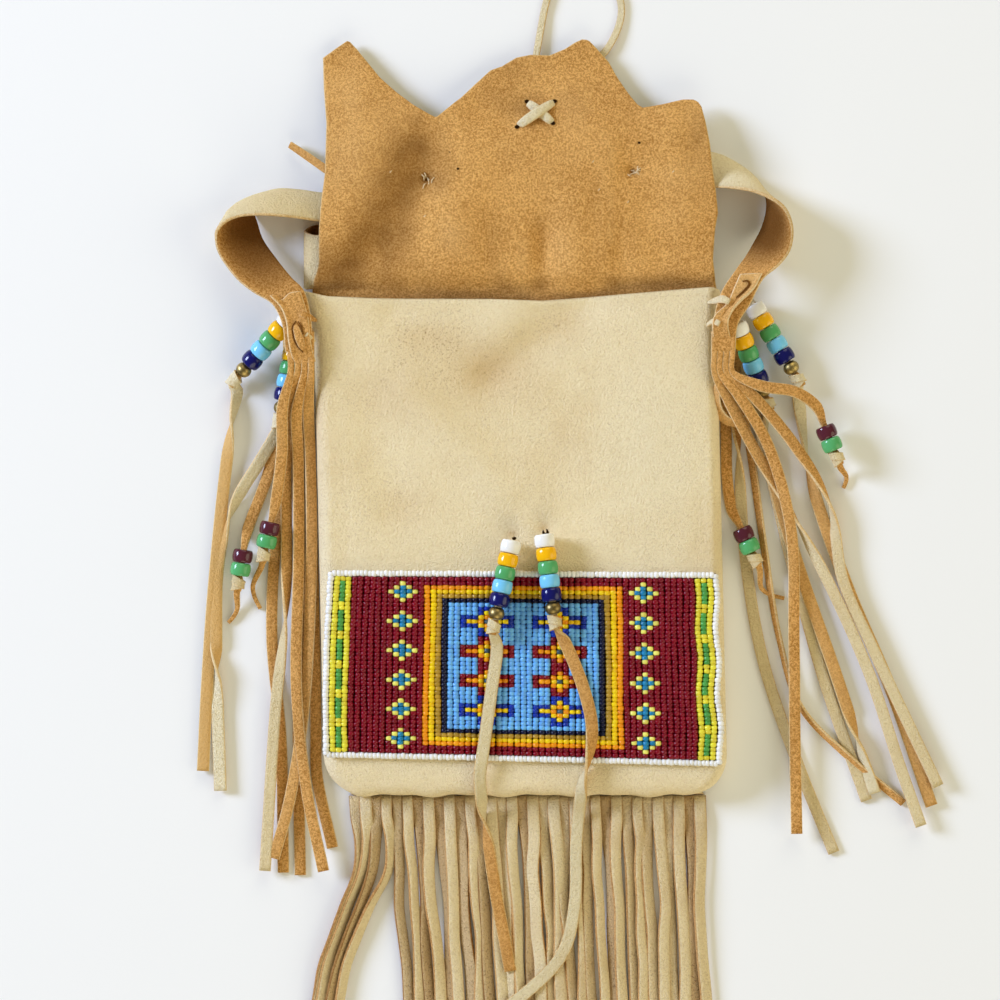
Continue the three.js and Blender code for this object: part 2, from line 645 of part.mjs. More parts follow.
// Strap: one band from corner to corner, looped out at both sides, folded to and fro under the flap;
// each end is slit into four strips.
const restZ = 0.2 + LEATHER / 2;
const firstPass = restZ + 2 * LEATHER + 0.6;
const lastPass = firstPass + LEATHER + SEAT + 0.2;
const turnX = BAG_WIDTH / 2 - 18;
const peekX = BAG_WIDTH / 2 + 3;
const hairpinY = FLAP_RISE + STRAP_WIDTH / 2 + 2;
const onCorner = (side) => (dx, dy, z, across, width) => {
  const corner = cornerOf(side);
  return { at: vec(corner.x + dx, corner.y + dy, z), across: vec(...across), width, thick: LEATHER };
};
const underFlap = (x, y, z) => {
  const at = vec(x, FOLD + y, z);
  return { at, across: vec(0, -1, 0), width: STRAP_WIDTH, thick: LEATHER };
};
const atLeft = onCorner(-1);
const atRight = onCorner(1);
const strapStations = [
  atLeft(-NECK_OUT_LEFT, -24, neckHeight, [-1, 0, 0], STRAP_NECK),
  atLeft(-NECK_OUT_LEFT - 0.4, -13, neckHeight, [-1, -0.1, 0], STRAP_NECK),
  atLeft(-NECK_OUT_LEFT - 2.2, -3.4, neckHeight - 0.2, [-0.92, -0.38, 0.05], STRAP_NECK + 1),
  atLeft(-12.4, 6.4, neckHeight - 2.4, [-0.78, -0.6, 0.2], STRAP_WIDTH - 1),
  atLeft(-20.4, 15.2, 13.6, [-0.68, -0.55, 0.45], STRAP_WIDTH),
  atLeft(-28, 23.2, 11.5, [-0.5, -0.45, 0.72], STRAP_WIDTH),
  atLeft(-33.2, 30, 10, [-0.1, -0.15, 0.98], STRAP_WIDTH),
  atLeft(-30.8, 34.6, 9.6, [0.08, -0.45, 0.88], STRAP_WIDTH),
  atLeft(-20.4, 36, 8.2, [0.03, -0.68, 0.72], STRAP_WIDTH),
  atLeft(-5.2, 35.2, 7, [0, -0.8, 0.58], STRAP_WIDTH),
  atLeft(8, 34.4, 5.6, [0, -0.95, 0.3], STRAP_WIDTH),
  atLeft(26, 33.6, firstPass, [0, -1, 0], STRAP_WIDTH),
  underFlap(0, 33, firstPass),
  underFlap(turnX, 32, firstPass),
  underFlap(turnX + 3, 31.8, (firstPass + restZ) / 2),
  underFlap(turnX, 31.4, restZ),
  underFlap(0, 27, restZ),
  underFlap(-peekX + 6, hairpinY, restZ),
  underFlap(-peekX + 1, hairpinY, restZ),
  underFlap(-peekX - 2.6, hairpinY, (lastPass + restZ) / 2),
  underFlap(-peekX + 1, hairpinY, lastPass),
  underFlap(-40, 25, lastPass),
  underFlap(0, 31, lastPass),
  underFlap(40, 40, lastPass),
  atRight(-10, 47, lastPass + 0.2, [0, -1, 0.06], STRAP_WIDTH),
  atRight(10, 46, 8.6, [0.05, -0.9, 0.4], STRAP_WIDTH),
  atRight(19.6, 40.8, 9.5, [0.2, -0.7, 0.68], STRAP_WIDTH),
  atRight(26, 30.8, 10.2, [0.25, -0.25, 0.93], STRAP_WIDTH),
  atRight(24.8, 19.6, 11.8, [0.45, -0.3, 0.84], STRAP_WIDTH),
  atRight(18.4, 10.4, neckHeight - 4, [0.66, -0.45, 0.6], STRAP_WIDTH),
  atRight(11.6, 2.8, neckHeight - 1.6, [0.85, -0.4, 0.32], STRAP_WIDTH - 1),
  atRight(NECK_OUT_RIGHT + 2.6, -4.4, neckHeight - 0.2, [0.95, -0.28, 0.1], STRAP_NECK + 1),
  atRight(NECK_OUT_RIGHT + 0.6, -13, neckHeight, [1, -0.1, 0], STRAP_NECK),
  atRight(NECK_OUT_RIGHT, -24, neckHeight, [1, 0, 0], STRAP_NECK),
];
let strap = toSolid(stripOfLeather(strapStations, 2));

// Strips of one strap end: they drop from the neck and settle over the lace tails
function strapStrips(side, name, routes, beadedTo) {
  const corner = cornerOf(side);
  const neckX = corner.x + (side < 0 ? -NECK_OUT_LEFT : NECK_OUT_RIGHT);
  const slit = STRAP_NECK / routes.length;
  routes.forEach((route, k) => {
    const rootX = neckX + side * (k - (routes.length - 1) / 2) * slit;
    const stations = [
      strip(vec(rootX, corner.y - 22, neckHeight)),
      strip(vec(rootX, corner.y - 25.5, neckHeight)),
      strip(vec(rootX, corner.y - 32, neckHeight - 0.8)),
    ];
    for (const s of stations) s.width = slit - 0.1;
    for (const [dx, dy, drop] of route) {
      const z = THREE.MathUtils.lerp(neckHeight, upperLevel, drop ?? 1);
      stations.push(strip(beside(side, dx, dy, z + (k % 2) * (STRIP_THICKNESS + SEAT))));
    }
    if (k === beadedTo.strip) {
      const last = stations[stations.length - 1].at;
      const along = vec(beadedTo.along[0], beadedTo.along[1], 0).normalize();
      const from = last.clone().addScaledVector(along, 7).setZ(lowString + beadedTo.lift);
      stations.push(...beadedEnd(`${name}_strap_strip`, from, along, beadedTo.tail));
    }
    strap = strap.add(toSolid(stripOfLeather(stations, 1, vec(side, 0, 0))));
  });
}
strapStrips(
  -1,
  "left",
  [
    [[-2.8, -46, 0.5], [-2.9, -66], [-3.4, -107], [-7.2, -163], [-14.1, -203], [-21.1, -227]],
    [[-6.8, -48, 0.5], [-7.4, -66], [-8.4, -107], [-10.4, -159], [-7.3, -199], [-1.2, -232]],
    [[-9.8, -48, 0.45], [-11, -68, 0.9], [-12.4, -99], [-14.3, -131], [-18.6, -163], [-24.8, -232]],
    [[-12.6, -46, 0.3], [-13.6, -64, 0.8], [-17, -84, 0.9]],
  ],
  { strip: 3, along: [-0.22, -0.97], tail: 6, lift: 1.6 },
);
strapStrips(
  1,
  "right",
  [
    [[4, -44, 0.4], [14.6, -64, 0.9], [30, -91], [44.9, -121], [58.6, -154], [69.7, -190], [77.6, -214]],
    [[8, -42, 0.3], [19.6, -62, 0.8], [27.9, -95], [28.1, -139], [27.6, -179], [27.5, -217]],
    [[13.7, -42, 0.25], [29.8, -61, 0.7], [43.5, -84], [48.4, -115], [60, -143], [84.8, -198]],
    [[16.2, -37.6, 0.15], [30, -40, 0.3], [39, -46, 0.6]],
  ],
  { strip: 3, along: [0.38, -0.92], tail: 10, lift: 2.4 },
);
add("strap", fromSolid(strap), SUEDE, 0.9);

// Flap lace: a closed closure loop; its ends rise through the flap in a cross and meet in a knot
const skin = (p, over) => {
  const low = flapHeight(p.y - flapRoot);
  const clear = SEAT + FLAP_LACE_THICKNESS / 2 + 0.9;
  return vec(p.x, p.y, over ? low + LEATHER + clear : low - clear);
};
const flapLace = (at) => ({ at, width: FLAP_LACE_WIDTH, thick: FLAP_LACE_THICKNESS });
const throughHole = (hole, dx, dy, upward) => {
  const middle = vec(hole.x, hole.y, flapHeight(hole.y - flapRoot) + LEATHER / 2);
  const below = skin(vec(hole.x - dx, hole.y - dy, 0), false);
  return upward ? [below, middle] : [middle, below];
};
const [holeA, holeB, holeC, holeD] = stitchHoles;
const tipY = flapRoot + FLAP_LENGTH;
const loopZ = FLAP_TIP_HEIGHT + SEAT - FLAP_LACE_THICKNESS;
const crossing = stitchCentre.clone().add(vec(1, -0.2, 0));
const lift = vec(0, 0, FLAP_LACE_THICKNESS + SEAT + 0.3);
const flapLaceStations = [
  vec(21, tipY + 34, loopZ),
  vec(14.4, tipY + 27, loopZ),
  vec(10.4, tipY + 16, loopZ),
  vec(8, tipY + 4, loopZ),
  vec(6, tipY - 8, loopZ),
  ...throughHole(holeA, -0.8, 2.6, true),
  skin(crossing, true),
  ...throughHole(holeB, 2.6, 1.2, false).slice(0, 1),
  skin(vec(holeB.x - 3, holeB.y - 0.6, 0), false),
  skin(vec(holeC.x + 3, holeC.y - 0.4, 0), false),
  ...throughHole(holeC, 0, 0, true).slice(1),
  skin(crossing, true).add(lift),
  ...throughHole(holeD, -2.6, -2.2, false),
  vec(24, tipY - 12, loopZ - 0.2),
  vec(34, tipY - 4, loopZ),
  vec(40, tipY + 8, loopZ),
  vec(40.4, tipY + 16, loopZ),
  vec(36, tipY + 27, loopZ),
  vec(27, tipY + 34, loopZ),
].map(flapLace);
add("flap_lace", stripOfLeather(flapLaceStations, 2, vec(0, -1, 0)), GRAIN, 0.7);

// Beadwork: fields of seed beads sewn over the lower half of the front panel
const beadworkY = FOLD - BEADWORK_TOP - EDGING_WIDTH - (BEAD_ROWS * SEED_ROW) / 2;
const beadworkX = leanX(beadworkY);
const halfRows = (BEAD_ROWS * SEED_ROW) / 2;
const blueHalf = (BLUE_COLUMNS * SEED_COLUMN) / 2;
const frameHalf = blueHalf + FRAME_COLUMNS * SEED_COLUMN;
const redHalf = frameHalf + RED_COLUMNS * SEED_COLUMN;
const stripeHalf = redHalf + STRIPE_COLUMNS * SEED_COLUMN;
const frameHigh = halfRows - RED_ROWS * SEED_ROW;
const blueHigh = frameHigh - FRAME_COLUMNS * SEED_ROW;
const groundLow = BAG_DEPTH + SEAT;
const groundHigh = groundLow + GROUND_THICKNESS;
const plateLow = groundHigh + SEAT;
const plateHigh = plateLow + 0.4;
const fieldLow = plateHigh + SEAT;
const fieldHigh = beadworkTop;
const onBeadwork = ([x, y]) => [beadworkX + x, beadworkY + y];
const rectangle = (w, h) => [[-w, -h], [w, -h], [w, h], [-w, h]].map(onBeadwork);
const lozenge = (x, y, w, h) => [[x - w, y], [x, y - h], [x + w, y], [x, y + h]].map(onBeadwork);

// Places of the diamonds in the red fields and of the flowers in the blue field
const motifY = (k) => halfRows - (3.5 + k * MOTIF_ROWS) * SEED_ROW;
const diamondX = frameHalf + 3.5 * SEED_COLUMN;
const flowerX = 6 * SEED_COLUMN;
const motifs = [];
for (const side of [-1, 1]) {
  for (let k = 0; k < BEAD_ROWS / MOTIF_ROWS; k += 1) {
    motifs.push([side * diamondX, motifY(k), 2.4 * SEED_COLUMN, 2.4 * SEED_ROW]);
  }
  for (const k of [1, 2, 3, 4]) {
    motifs.push([side * flowerX, motifY(k), 3.2 * SEED_COLUMN, 2.2 * SEED_ROW]);
  }
}

// Yellow ground: the sewn backing, its side stripes and the motifs standing up through the fields
let yellow = toSolid(prism(rectangle(stripeHalf, halfRows), groundLow, groundHigh));
for (const side of [-1, 1]) {
  const inner = redHalf + SEAT;
  const stripe = [[inner, -halfRows], [stripeHalf, -halfRows], [stripeHalf, halfRows], [inner, halfRows]];
  const outline = stripe.map(([x, y]) => [side * x, y]).map(onBeadwork);
  yellow = yellow.add(toSolid(prism(side > 0 ? outline : outline.reverse(), groundLow, fieldHigh)));
}
let clearance = null;
for (const [x, y, w, h] of motifs) {
  yellow = yellow.add(toSolid(prism(lozenge(x, y, w, h), groundLow, fieldHigh)));
  const opening = toSolid(prism(lozenge(x, y, w + 2 * SEAT, h + 1.5 * SEAT), groundLow, fieldHigh + 1));
  clearance = clearance ? clearance.add(opening) : opening;
}
add("beadwork_yellow_ground", fromSolid(yellow), 0xf0d84a, 0.35);

// Red field: both side fields, the bands above and below the frame, and the crosses in the blue field
let red = toSolid(prism(rectangle(redHalf, halfRows), plateLow, plateHigh));
const frameOpening = rectangle(frameHalf, frameHigh).reverse();
red = red.add(toSolid(prism(rectangle(redHalf, halfRows), plateLow, fieldHigh, [frameOpening])));
const crosses = [-1, 1].map((side) => {
  const arm = 4.5 * SEED_COLUMN;
  const stem = 1.5 * SEED_COLUMN;
  const bar = 1.5 * SEED_ROW;
  const high = motifY(2);
  const low = motifY(3);
  const reach = 3.5 * SEED_ROW;
  const half = [
    [stem, low - reach],
    [stem, low - bar],
    [arm, low - bar],
    [arm, low + bar],
    [stem, low + bar],
    [stem, high - bar],
    [arm, high - bar],
    [arm, high + bar],
    [stem, high + bar],
    [stem, high + reach],
  ];
  const mirrored = [...half].reverse().map(([x, y]) => [-x, y]);
  return [...half, ...mirrored].map(([x, y]) => [x + side * flowerX, y]);
});
for (const cross of crosses) {
  red = red.add(toSolid(prism(cross.map(onBeadwork), plateLow, fieldHigh)));
}
red = red.subtract(clearance);
add("beadwork_red_field", fromSolid(red), 0x6e0a1e, 0.3);

// Gold frame: the ring of orange, yellow, gold and navy rows round the blue field
const frameRing = rectangle(blueHalf + SEAT, blueHigh + SEAT).reverse();
const frameOutline = rectangle(frameHalf - SEAT, frameHigh - SEAT);
add("beadwork_gold_frame", prism(frameOutline, fieldLow, fieldHigh, [frameRing]), 0xe8a418, 0.35);

// Blue field, cut round the crosses and the flowers
let blue = toSolid(prism(rectangle(blueHalf, blueHigh), fieldLow, fieldHigh));
for (const cross of crosses) {
  const middleX = cross.reduce((sum, [x]) => sum + x, 0) / cross.length;
  const middleY = cross.reduce((sum, [, y]) => sum + y, 0) / cross.length;
  const wider = cross.map(([x, y]) => {
    const nearStem = Math.abs(x - middleX) < 2 * SEED_COLUMN;
    const outX = Math.sign(x - middleX) * SEAT;
    const inNotch = nearStem && Math.abs(y - middleY) < 2.1 * SEED_ROW;
    const upper = y > middleY;
    const barTops = [2, 3].map((k) => motifY(k) + 1.5 * SEED_ROW);
    const onTop = barTops.some((edge) => Math.abs(edge - y) < 0.01);
    const grow = onTop || (upper && y > motifY(2) + 2 * SEED_ROW) ? SEAT : -SEAT;
    return [x + outX, inNotch ? y + (upper ? -SEAT : SEAT) : y + grow];
  });
  blue = blue.subtract(toSolid(prism(wider.map(onBeadwork), fieldLow - 1, fieldHigh + 1)));
}
blue = blue.subtract(clearance);
add("beadwork_blue_field", fromSolid(blue), 0x7fb4ee, 0.3);

// White edging: a row of beads whipped all round the beadwork
const edgingHole = rectangle(stripeHalf + SEAT, halfRows + SEAT).reverse();
const edgingOutline = rectangle(stripeHalf + EDGING_WIDTH, halfRows + EDGING_WIDTH);
const edging = prism(edgingOutline, groundLow, fieldHigh, [edgingHole]);
add("beadwork_white_edging", edging, 0xf5f3ec, 0.35);

export default group;
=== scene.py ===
# Fringed leather shoulder bag with a beadwork panel, lying on its back with the flap thrown open.
import math
import random

import bpy
import numpy as np
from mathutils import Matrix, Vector, noise


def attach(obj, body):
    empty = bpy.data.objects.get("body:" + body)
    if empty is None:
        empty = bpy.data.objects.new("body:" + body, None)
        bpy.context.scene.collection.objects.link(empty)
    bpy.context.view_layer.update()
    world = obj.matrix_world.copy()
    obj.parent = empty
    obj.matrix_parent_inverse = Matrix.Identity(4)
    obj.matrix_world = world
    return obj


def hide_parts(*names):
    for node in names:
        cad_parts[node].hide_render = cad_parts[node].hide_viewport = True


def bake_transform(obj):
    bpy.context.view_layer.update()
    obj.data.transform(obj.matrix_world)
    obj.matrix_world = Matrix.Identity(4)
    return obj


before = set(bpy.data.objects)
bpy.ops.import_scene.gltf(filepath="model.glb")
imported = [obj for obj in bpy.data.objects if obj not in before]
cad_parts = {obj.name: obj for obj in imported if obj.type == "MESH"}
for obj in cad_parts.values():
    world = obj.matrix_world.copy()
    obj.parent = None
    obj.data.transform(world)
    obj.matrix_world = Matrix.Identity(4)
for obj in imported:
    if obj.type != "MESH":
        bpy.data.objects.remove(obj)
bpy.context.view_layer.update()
scene = bpy.context.scene
scene.view_settings.view_transform = "Standard"


# The hide: one soft skin is both the bag's back and its flap, folded at the mouth and thrown open
# over the strap. Its flesh side, a napped tan suede, is up; the pale grain side lies on the table.
# The flap keeps the skin's own uneven edge. Lengths here and below are in millimetres.
MM = 0.001
BAG_WIDTH = 161.5
BAG_HEIGHT = 201.0
BAG_LEAN = 4.5
LEATHER = 1.4
EDGE_BULGE = 0.25
CORNER_RADIUS = 16.0
FOLD = BAG_HEIGHT / 2
FLAP_START = FOLD + 0.3
FRINGE_HEADER = 6.0
LAID_HEIGHT = 0.75
MOUTH_HEIGHT = 8.0
OVER_STRAP = 3.6
FLAP_FALL = 7.6
FLAP_LOWEST = 1.6


class Shade:
    """A socket of a finish. Arithmetic on it adds Math nodes, and node() adds any other node."""

    def __init__(self, tree, socket=None):
        self.tree = tree
        self.socket = socket

    def node(self, kind, settings, inputs, output=0):
        made = self.tree.nodes.new("ShaderNode" + kind)
        for name, value in settings.items():
            setattr(made, name, value)
        for key, value in inputs.items():
            if isinstance(value, Shade):
                self.tree.links.new(value.socket, made.inputs[key])
            else:
                made.inputs[key].default_value = value
        return Shade(self.tree, made.outputs[output])

    def maths(self, operation, first, second):
        return self.node("Math", {"operation": operation}, {0: first, 1: second})

    def __add__(self, other):
        return self.maths("ADD", self, other)

    def __rsub__(self, other):
        return self.maths("SUBTRACT", other, self)

    def __mul__(self, other):
        return self.maths("MULTIPLY", self, other)

    __radd__ = __add__
    __rmul__ = __mul__

    def rise(self, low, high):
        return self.node("MapRange", {"interpolation_type": "SMOOTHSTEP"}, {0: self, 1: low, 2: high})

    def mix(self, first, second):
        return self.node("Mix", {"data_type": "RGBA"}, {0: self, 6: first, 7: second}, 2)

    def bump(self, strength, distance):
        return self.node("Bump", {}, {"Strength": strength, "Distance": distance, "Height": self})


def paint(code):
    """A colour written as six hex digits, as the linear values that a socket takes."""
    parts = [int(code[k : k + 2], 16) / 255 for k in (0, 2, 4)]
    linear = [p / 12.92 if p <= 0.04045 else ((p + 0.055) / 1.055) ** 2.4 for p in parts]
    return (*linear, 1.0)


def new_finish(name, **values):
    """A finish with some plain values, the place on the piece for its patterns, and its shader."""
    material = bpy.data.materials.new(name)
    material.use_nodes = True
    shader = material.node_tree.nodes["Principled BSDF"]
    for socket, value in values.items():
        shader.inputs[socket.replace("_", " ")].default_value = value
    at = Shade(material.node_tree).node("TexCoord", {}, {}, "Object")
    return material, at, shader


def feed(shader, **sockets):
    for name, shade in sockets.items():
        target = shader.inputs[name.replace("_", " ")]
        shade.tree.links.new(shade.socket, target)


def clouds(at, scale, detail=2.0, roughness=0.5):
    inputs = {"Vector": at, "Scale": scale, "Detail": detail, "Roughness": roughness}
    return at.node("TexNoise", {}, inputs)


def suede(name, pale, deep, worn_and_lit):
    """Flesh side of the skin: short nap in clumps, brushed lighter and darker, with worn patches."""
    sheen = {"Sheen_Weight": 0.12, "Sheen_Roughness": 0.6, "Sheen_Tint": paint(pale)}
    material, at, shader = new_finish(name, Roughness=0.95, Specular_IOR_Level=0.15, **sheen)
    tone = at.node("Attribute", {"attribute_name": "tone"}, {}, "Fac")
    fibre = clouds(at, 2800.0, 2.0, 0.6)
    clump = clouds(at, 1200.0, 2.0, 0.6)
    brushed = clouds(at, 45.0, 4.0, 0.6)
    nap = (fibre * 0.45 + clump * 0.55).rise(0.4, 0.6)
    ground = (nap * 0.8 + brushed.rise(0.3, 0.7) * 0.2).mix(paint(deep), paint(pale))
    rubbed = (clouds(at, 16.0, 3.0, 0.55).rise(0.5, 0.75) * 0.25).mix(ground, paint(worn_and_lit))
    # Tone below a half darkens towards a deep shadow colour. This is painted shade in the strap's loops and
    # bends, the flap's valleys and dimples, the tab slits and the bead backing, and darker nap where the tone
    # varies at random.
    red, green, blue, one = paint(deep)
    shadow = (red * 0.34, green * 0.26, blue * 0.1, one)
    darkened = ((1 - tone.rise(0.0, 0.5)) * 0.95).mix(rubbed, shadow)
    # Tone above a half lightens towards the worn colour. This is painted light on the top of the right loop
    # and the flap's ridges, and paler nap where the tone varies at random.
    shaded = (tone.rise(0.5, 1.0) * 0.75).mix(darkened, paint(worn_and_lit))
    feed(shader, Base_Color=shaded, Normal=(fibre * 0.5 + clump).bump(0.85, 0.0007))
    return material


def grain(name, pale, stain_and_shade_tint, speck, soil=0.5):
    """Grain side of the skin: smooth and pale, with pores, fine creases, soft stains and specks."""
    material, at, shader = new_finish(name, Specular_IOR_Level=0.3)
    tone = at.node("Attribute", {"attribute_name": "tone"}, {}, "Fac")
    pore = at.node("TexVoronoi", {"feature": "DISTANCE_TO_EDGE"}, {"Vector": at, "Scale": 950.0})
    crease = clouds(at, 330.0, 5.0, 0.65)
    pebble = clouds(at, 1200.0, 3.0, 0.65)
    stain = clouds(at, 22.0, 5.0, 0.6).rise(0.48, 0.78)
    patches = clouds(at, 30.0, 3.0, 0.6).rise(0.36, 0.64)
    spots = clouds(at, 1300.0, 2.0, 0.6).rise(0.54, 0.66) * patches
    flecks = clouds(at, 620.0, 3.0, 0.7).rise(0.58, 0.68)
    ground = (stain * soil).mix(paint(pale), paint(stain_and_shade_tint))
    # Tone below a half darkens towards the stained colour. This gives real stains, and painted shade where
    # the tone is set low for it, as on parts of the front, on the lower thongs and in the strap's loops.
    stain_and_shade = (1 - tone.rise(0.0, 0.5)).mix(ground, paint(stain_and_shade_tint))
    # Tone above a half lightens towards a pale cream. This gives painted light on the front's right side and
    # the top of the right loop, and paler leather where the tone varies at random.
    lifted = (tone.rise(0.5, 1.0) * 0.6).mix(stain_and_shade, paint("fbefcc"))
    # Darker in the hollows of the creases and pebbles: painted shade.
    hollow_shade = crease.rise(0.42, 0.28) * 0.12 + pebble.rise(0.55, 0.3) * 0.26
    creased = hollow_shade.mix(lifted, paint(stain_and_shade_tint))
    soiled_here = 1 - tone.rise(0.15, 0.5)
    dirt = spots * (0.2 + soiled_here * 0.5) + flecks * soiled_here * 0.4
    specked = dirt.mix(creased, paint(speck))
    wrinkle = clouds(at, 95.0, 4.0, 0.6)
    height = wrinkle * 1.9 + crease * 0.6 + pebble * 2.2 + pore.rise(0.0, 0.12) * 0.25
    relief = height.bump(0.85, 0.0006)
    feed(shader, Base_Color=specked, Roughness=0.5 + crease * 0.25, Normal=relief)
    return material


class Work:
    """Points and faces of one piece, gathered before its mesh is made."""

    def __init__(self):
        self.points = []
        self.faces = []
        self.finish = []
        self.tone = []

    def add(self, points, faces, finish, tone=0.5):
        start = len(self.points)
        self.points.extend(tuple(p) for p in points)
        self.faces.extend(tuple(start + k for k in face) for face in faces)
        self.finish.extend(finish)
        tones = np.broadcast_to(np.asarray(tone, float), (len(points),))
        self.tone.extend(tones.tolist())

    def make(self, name, finishes, body, slot, stands_for=()):
        mesh = bpy.data.meshes.new(name)
        mesh.from_pydata([(x * MM, y * MM, z * MM) for x, y, z in self.points], [], self.faces)
        for finish in finishes:
            mesh.materials.append(finish)
        mesh.polygons.foreach_set("material_index", self.finish)
        mesh.polygons.foreach_set("use_smooth", [True] * len(self.faces))
        tone = mesh.attributes.new("tone", "FLOAT", "POINT")
        tone.data.foreach_set("value", self.tone)
        mesh.update()
        piece = bpy.data.objects.new(name, mesh)
        scene.collection.objects.link(piece)
        if body:
            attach(piece, body)
        if stands_for:
            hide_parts(*stands_for)
        return piece


def unit(vectors):
    """Vectors brought to a length of one."""
    return vectors / np.maximum(np.linalg.norm(vectors, axis=-1, keepdims=True), 1e-9)


def bell(away, width):
    """A soft bump: one in its middle, and next to nothing at twice its width."""
    return np.exp(-((away / width) ** 2))


def add_sheet(work, middle, thick, tone):
    """A sheet of leather on a grid of middle points: upper side, lower side and a raw edge."""
    rows, columns = middle.shape[:2]
    normal = unit(np.cross(np.gradient(middle, axis=1), np.gradient(middle, axis=0)))
    count = rows * columns
    index = np.arange(count).reshape(rows, columns)
    a, b = index[:-1, :-1].ravel(), index[:-1, 1:].ravel()
    c, d = index[1:, 1:].ravel(), index[1:, :-1].ravel()
    faces = list(zip(a, b, c, d)) + list(zip(d + count, c + count, b + count, a + count))
    finish = [0] * len(a) + [1] * len(a)
    ring = [*index[0, :-1], *index[:-1, -1], *index[-1, :0:-1], *index[:0:-1, 0]]
    flat_middle, flat_normal = middle.reshape(-1, 3), normal.reshape(-1, 3)
    travel = np.roll(flat_middle[ring], -1, axis=0) - np.roll(flat_middle[ring], 1, axis=0)
    rim = flat_middle[ring] + unit(np.cross(travel, flat_normal[ring])) * thick * EDGE_BULGE
    points = [flat_middle + flat_normal * thick / 2, flat_middle - flat_normal * thick / 2, rim]
    for k in range(len(ring)):
        n = (k + 1) % len(ring)
        low, high = ring[k] + count, ring[n] + count
        faces.append((low, high, 2 * count + n, 2 * count + k))
        faces.append((2 * count + k, 2 * count + n, ring[n], ring[k]))
        finish += [2, 2]
    tones = np.broadcast_to(np.asarray(tone, float), (rows, columns)).ravel()
    work.add(np.concatenate(points), faces, finish, np.concatenate([tones, tones, tones[ring]]))


def lean(y):
    return -BAG_LEAN * y / BAG_HEIGHT


def smooth(low, high, value):
    share = np.clip((np.asarray(value, float) - low) / (high - low), 0, 1)
    return share * share * (3 - 2 * share)


def half_width(y):
    rise = np.minimum(y + FOLD, CORNER_RADIUS)
    return BAG_WIDTH / 2 - CORNER_RADIUS + np.sqrt(CORNER_RADIUS**2 - (CORNER_RADIUS - rise) ** 2)


# Outline of the flap: reach from the fold and place of its sides, then place and reach of its edge
FLAP_LEFT = [
    (0, -83), (4, -82.6), (8, -81), (11, -80.3), (24.5, -80.2), (36, -79.3), (47.5, -77.8), (67, -77.3),
    (82, -78.6), (94, -79),
]
FLAP_RIGHT = [
    (0, 78.4), (4, 77.6), (7.3, 77.2), (13, 76.6), (24.5, 77.4), (31.4, 78.6), (40.6, 77.7), (47.5, 76.6),
    (59, 75.4), (68, 73.7), (75, 72),
]
FLAP_EDGE = [
    (-79, 94), (-74.2, 97.5), (-69.2, 100.9), (-65.8, 97.3), (-61.8, 92.3), (-56.6, 85.9), (-49.7, 79.7),
    (-42.8, 74.5), (-36, 70.5), (-33.8, 69.5), (-32.2, 70.7), (-23.4, 77.9), (-17, 84.1), (-11.8, 88.9),
    (-7.2, 90.5), (-1.5, 94), (4.2, 95.1), (11.7, 94.8), (18, 97.4), (22.2, 100.1), (24.9, 101.3),
    (27.2, 101), (30.1, 98), (35.2, 92.3), (38.7, 85.9), (43.3, 79.1), (46.6, 74.9), (48.8, 73.5),
    (51.8, 73.9), (57, 74.8), (65.1, 76.8), (69.4, 76.8), (71.4, 75.6), (72, 74),
]
FLAP_DIMPLES = [(-37.4, 44.9), (44.6, 48.1)]
# The long valley from the left dimple to the mouth, and lesser folds: two ends, depth and width
FLAP_VALLEY = [(-37, 58), (-42, 41), (-49, 27), (-59, 14), (-70, 5)]
VALLEY_DEPTH, VALLEY_WIDTH = 2.7, 10
FLAP_FOLDS = [
    (-60, 50, -76, 14, 1.4, 10),
    (9.8, 22, 9.6, -2, -1.9, 4.5),
    (9.8, 31, 9.6, -2, -1.0, 7),
    (-24, 34, -26, 6, 1.8, 11),
    (22, 34, 24, 2, 1.7, 9),
    (35, 56, 34, 14, 0.7, 4),
    (40, 20, 42, 1, -0.9, 5),
    (-16, 73, -6, 69, -1.3, 6),
    (22, 72, 32, 58, 0.8, 8),
    (50, 44, 56, 12, -1.0, 8),
    (-62, 90, -66, 50, 1.1, 9),
    (60, 70, 66, 30, 0.9, 8),
]
# Streaks of the flap's tone: painted shade in its valleys and along the mouth, painted light on its ridges,
# and
# nap that is darker or lighter: two ends, amount and width
FLAP_STREAKS = [
    (-80, 6, -20, 4, -0.1, 7),
    (-20, 5, 30, 3, -0.06, 4),
    (64, 60, 66, 50, -0.08, 14),
    (68, 74, 75, 44, -0.06, 6),
    (-38, 47, -34, 55, -0.07, 8),
    (-30, 40, -27, 52, -0.07, 6),
    (7.2, 28, 7.8, 2, -0.18, 4.5),
    (-12, 16, -6, 2, -0.09, 6),
    (36, 4, 78, 5.5, -0.18, 3.2),
    (-8, 78, 2, 72, -0.1, 8),
    (-12, 90, 30, 97, -0.08, 6),
    (24, 78, 30, 66, -0.05, 7),
    (48, 50, 46, 44, -0.06, 8),
    (36.5, 56, 36, 20, 0.16, 2.2),
    (44, 54, 48, 64, 0.08, 5),
    (-28, 30, -22, 12, 0.16, 9),
    (2, 22, 0, 6, 0.08, 4),
    (14, 22, 20, 6, 0.1, 6),
    (-66, 60, -72, 92, 0.06, 9),
    (60, 36, 70, 14, 0.08, 8),
]


def off_line(line, x, y):
    """Distance of places from a line of points."""
    nearest = np.inf
    for (x0, y0), (x1, y1) in zip(line, line[1:]):
        run, rise = x1 - x0, y1 - y0
        share = np.clip(((x - x0) * run + (y - y0) * rise) / (run**2 + rise**2), 0, 1)
        nearest = np.minimum(nearest, np.hypot(x - x0 - share * run, y - y0 - share * rise))
    return nearest


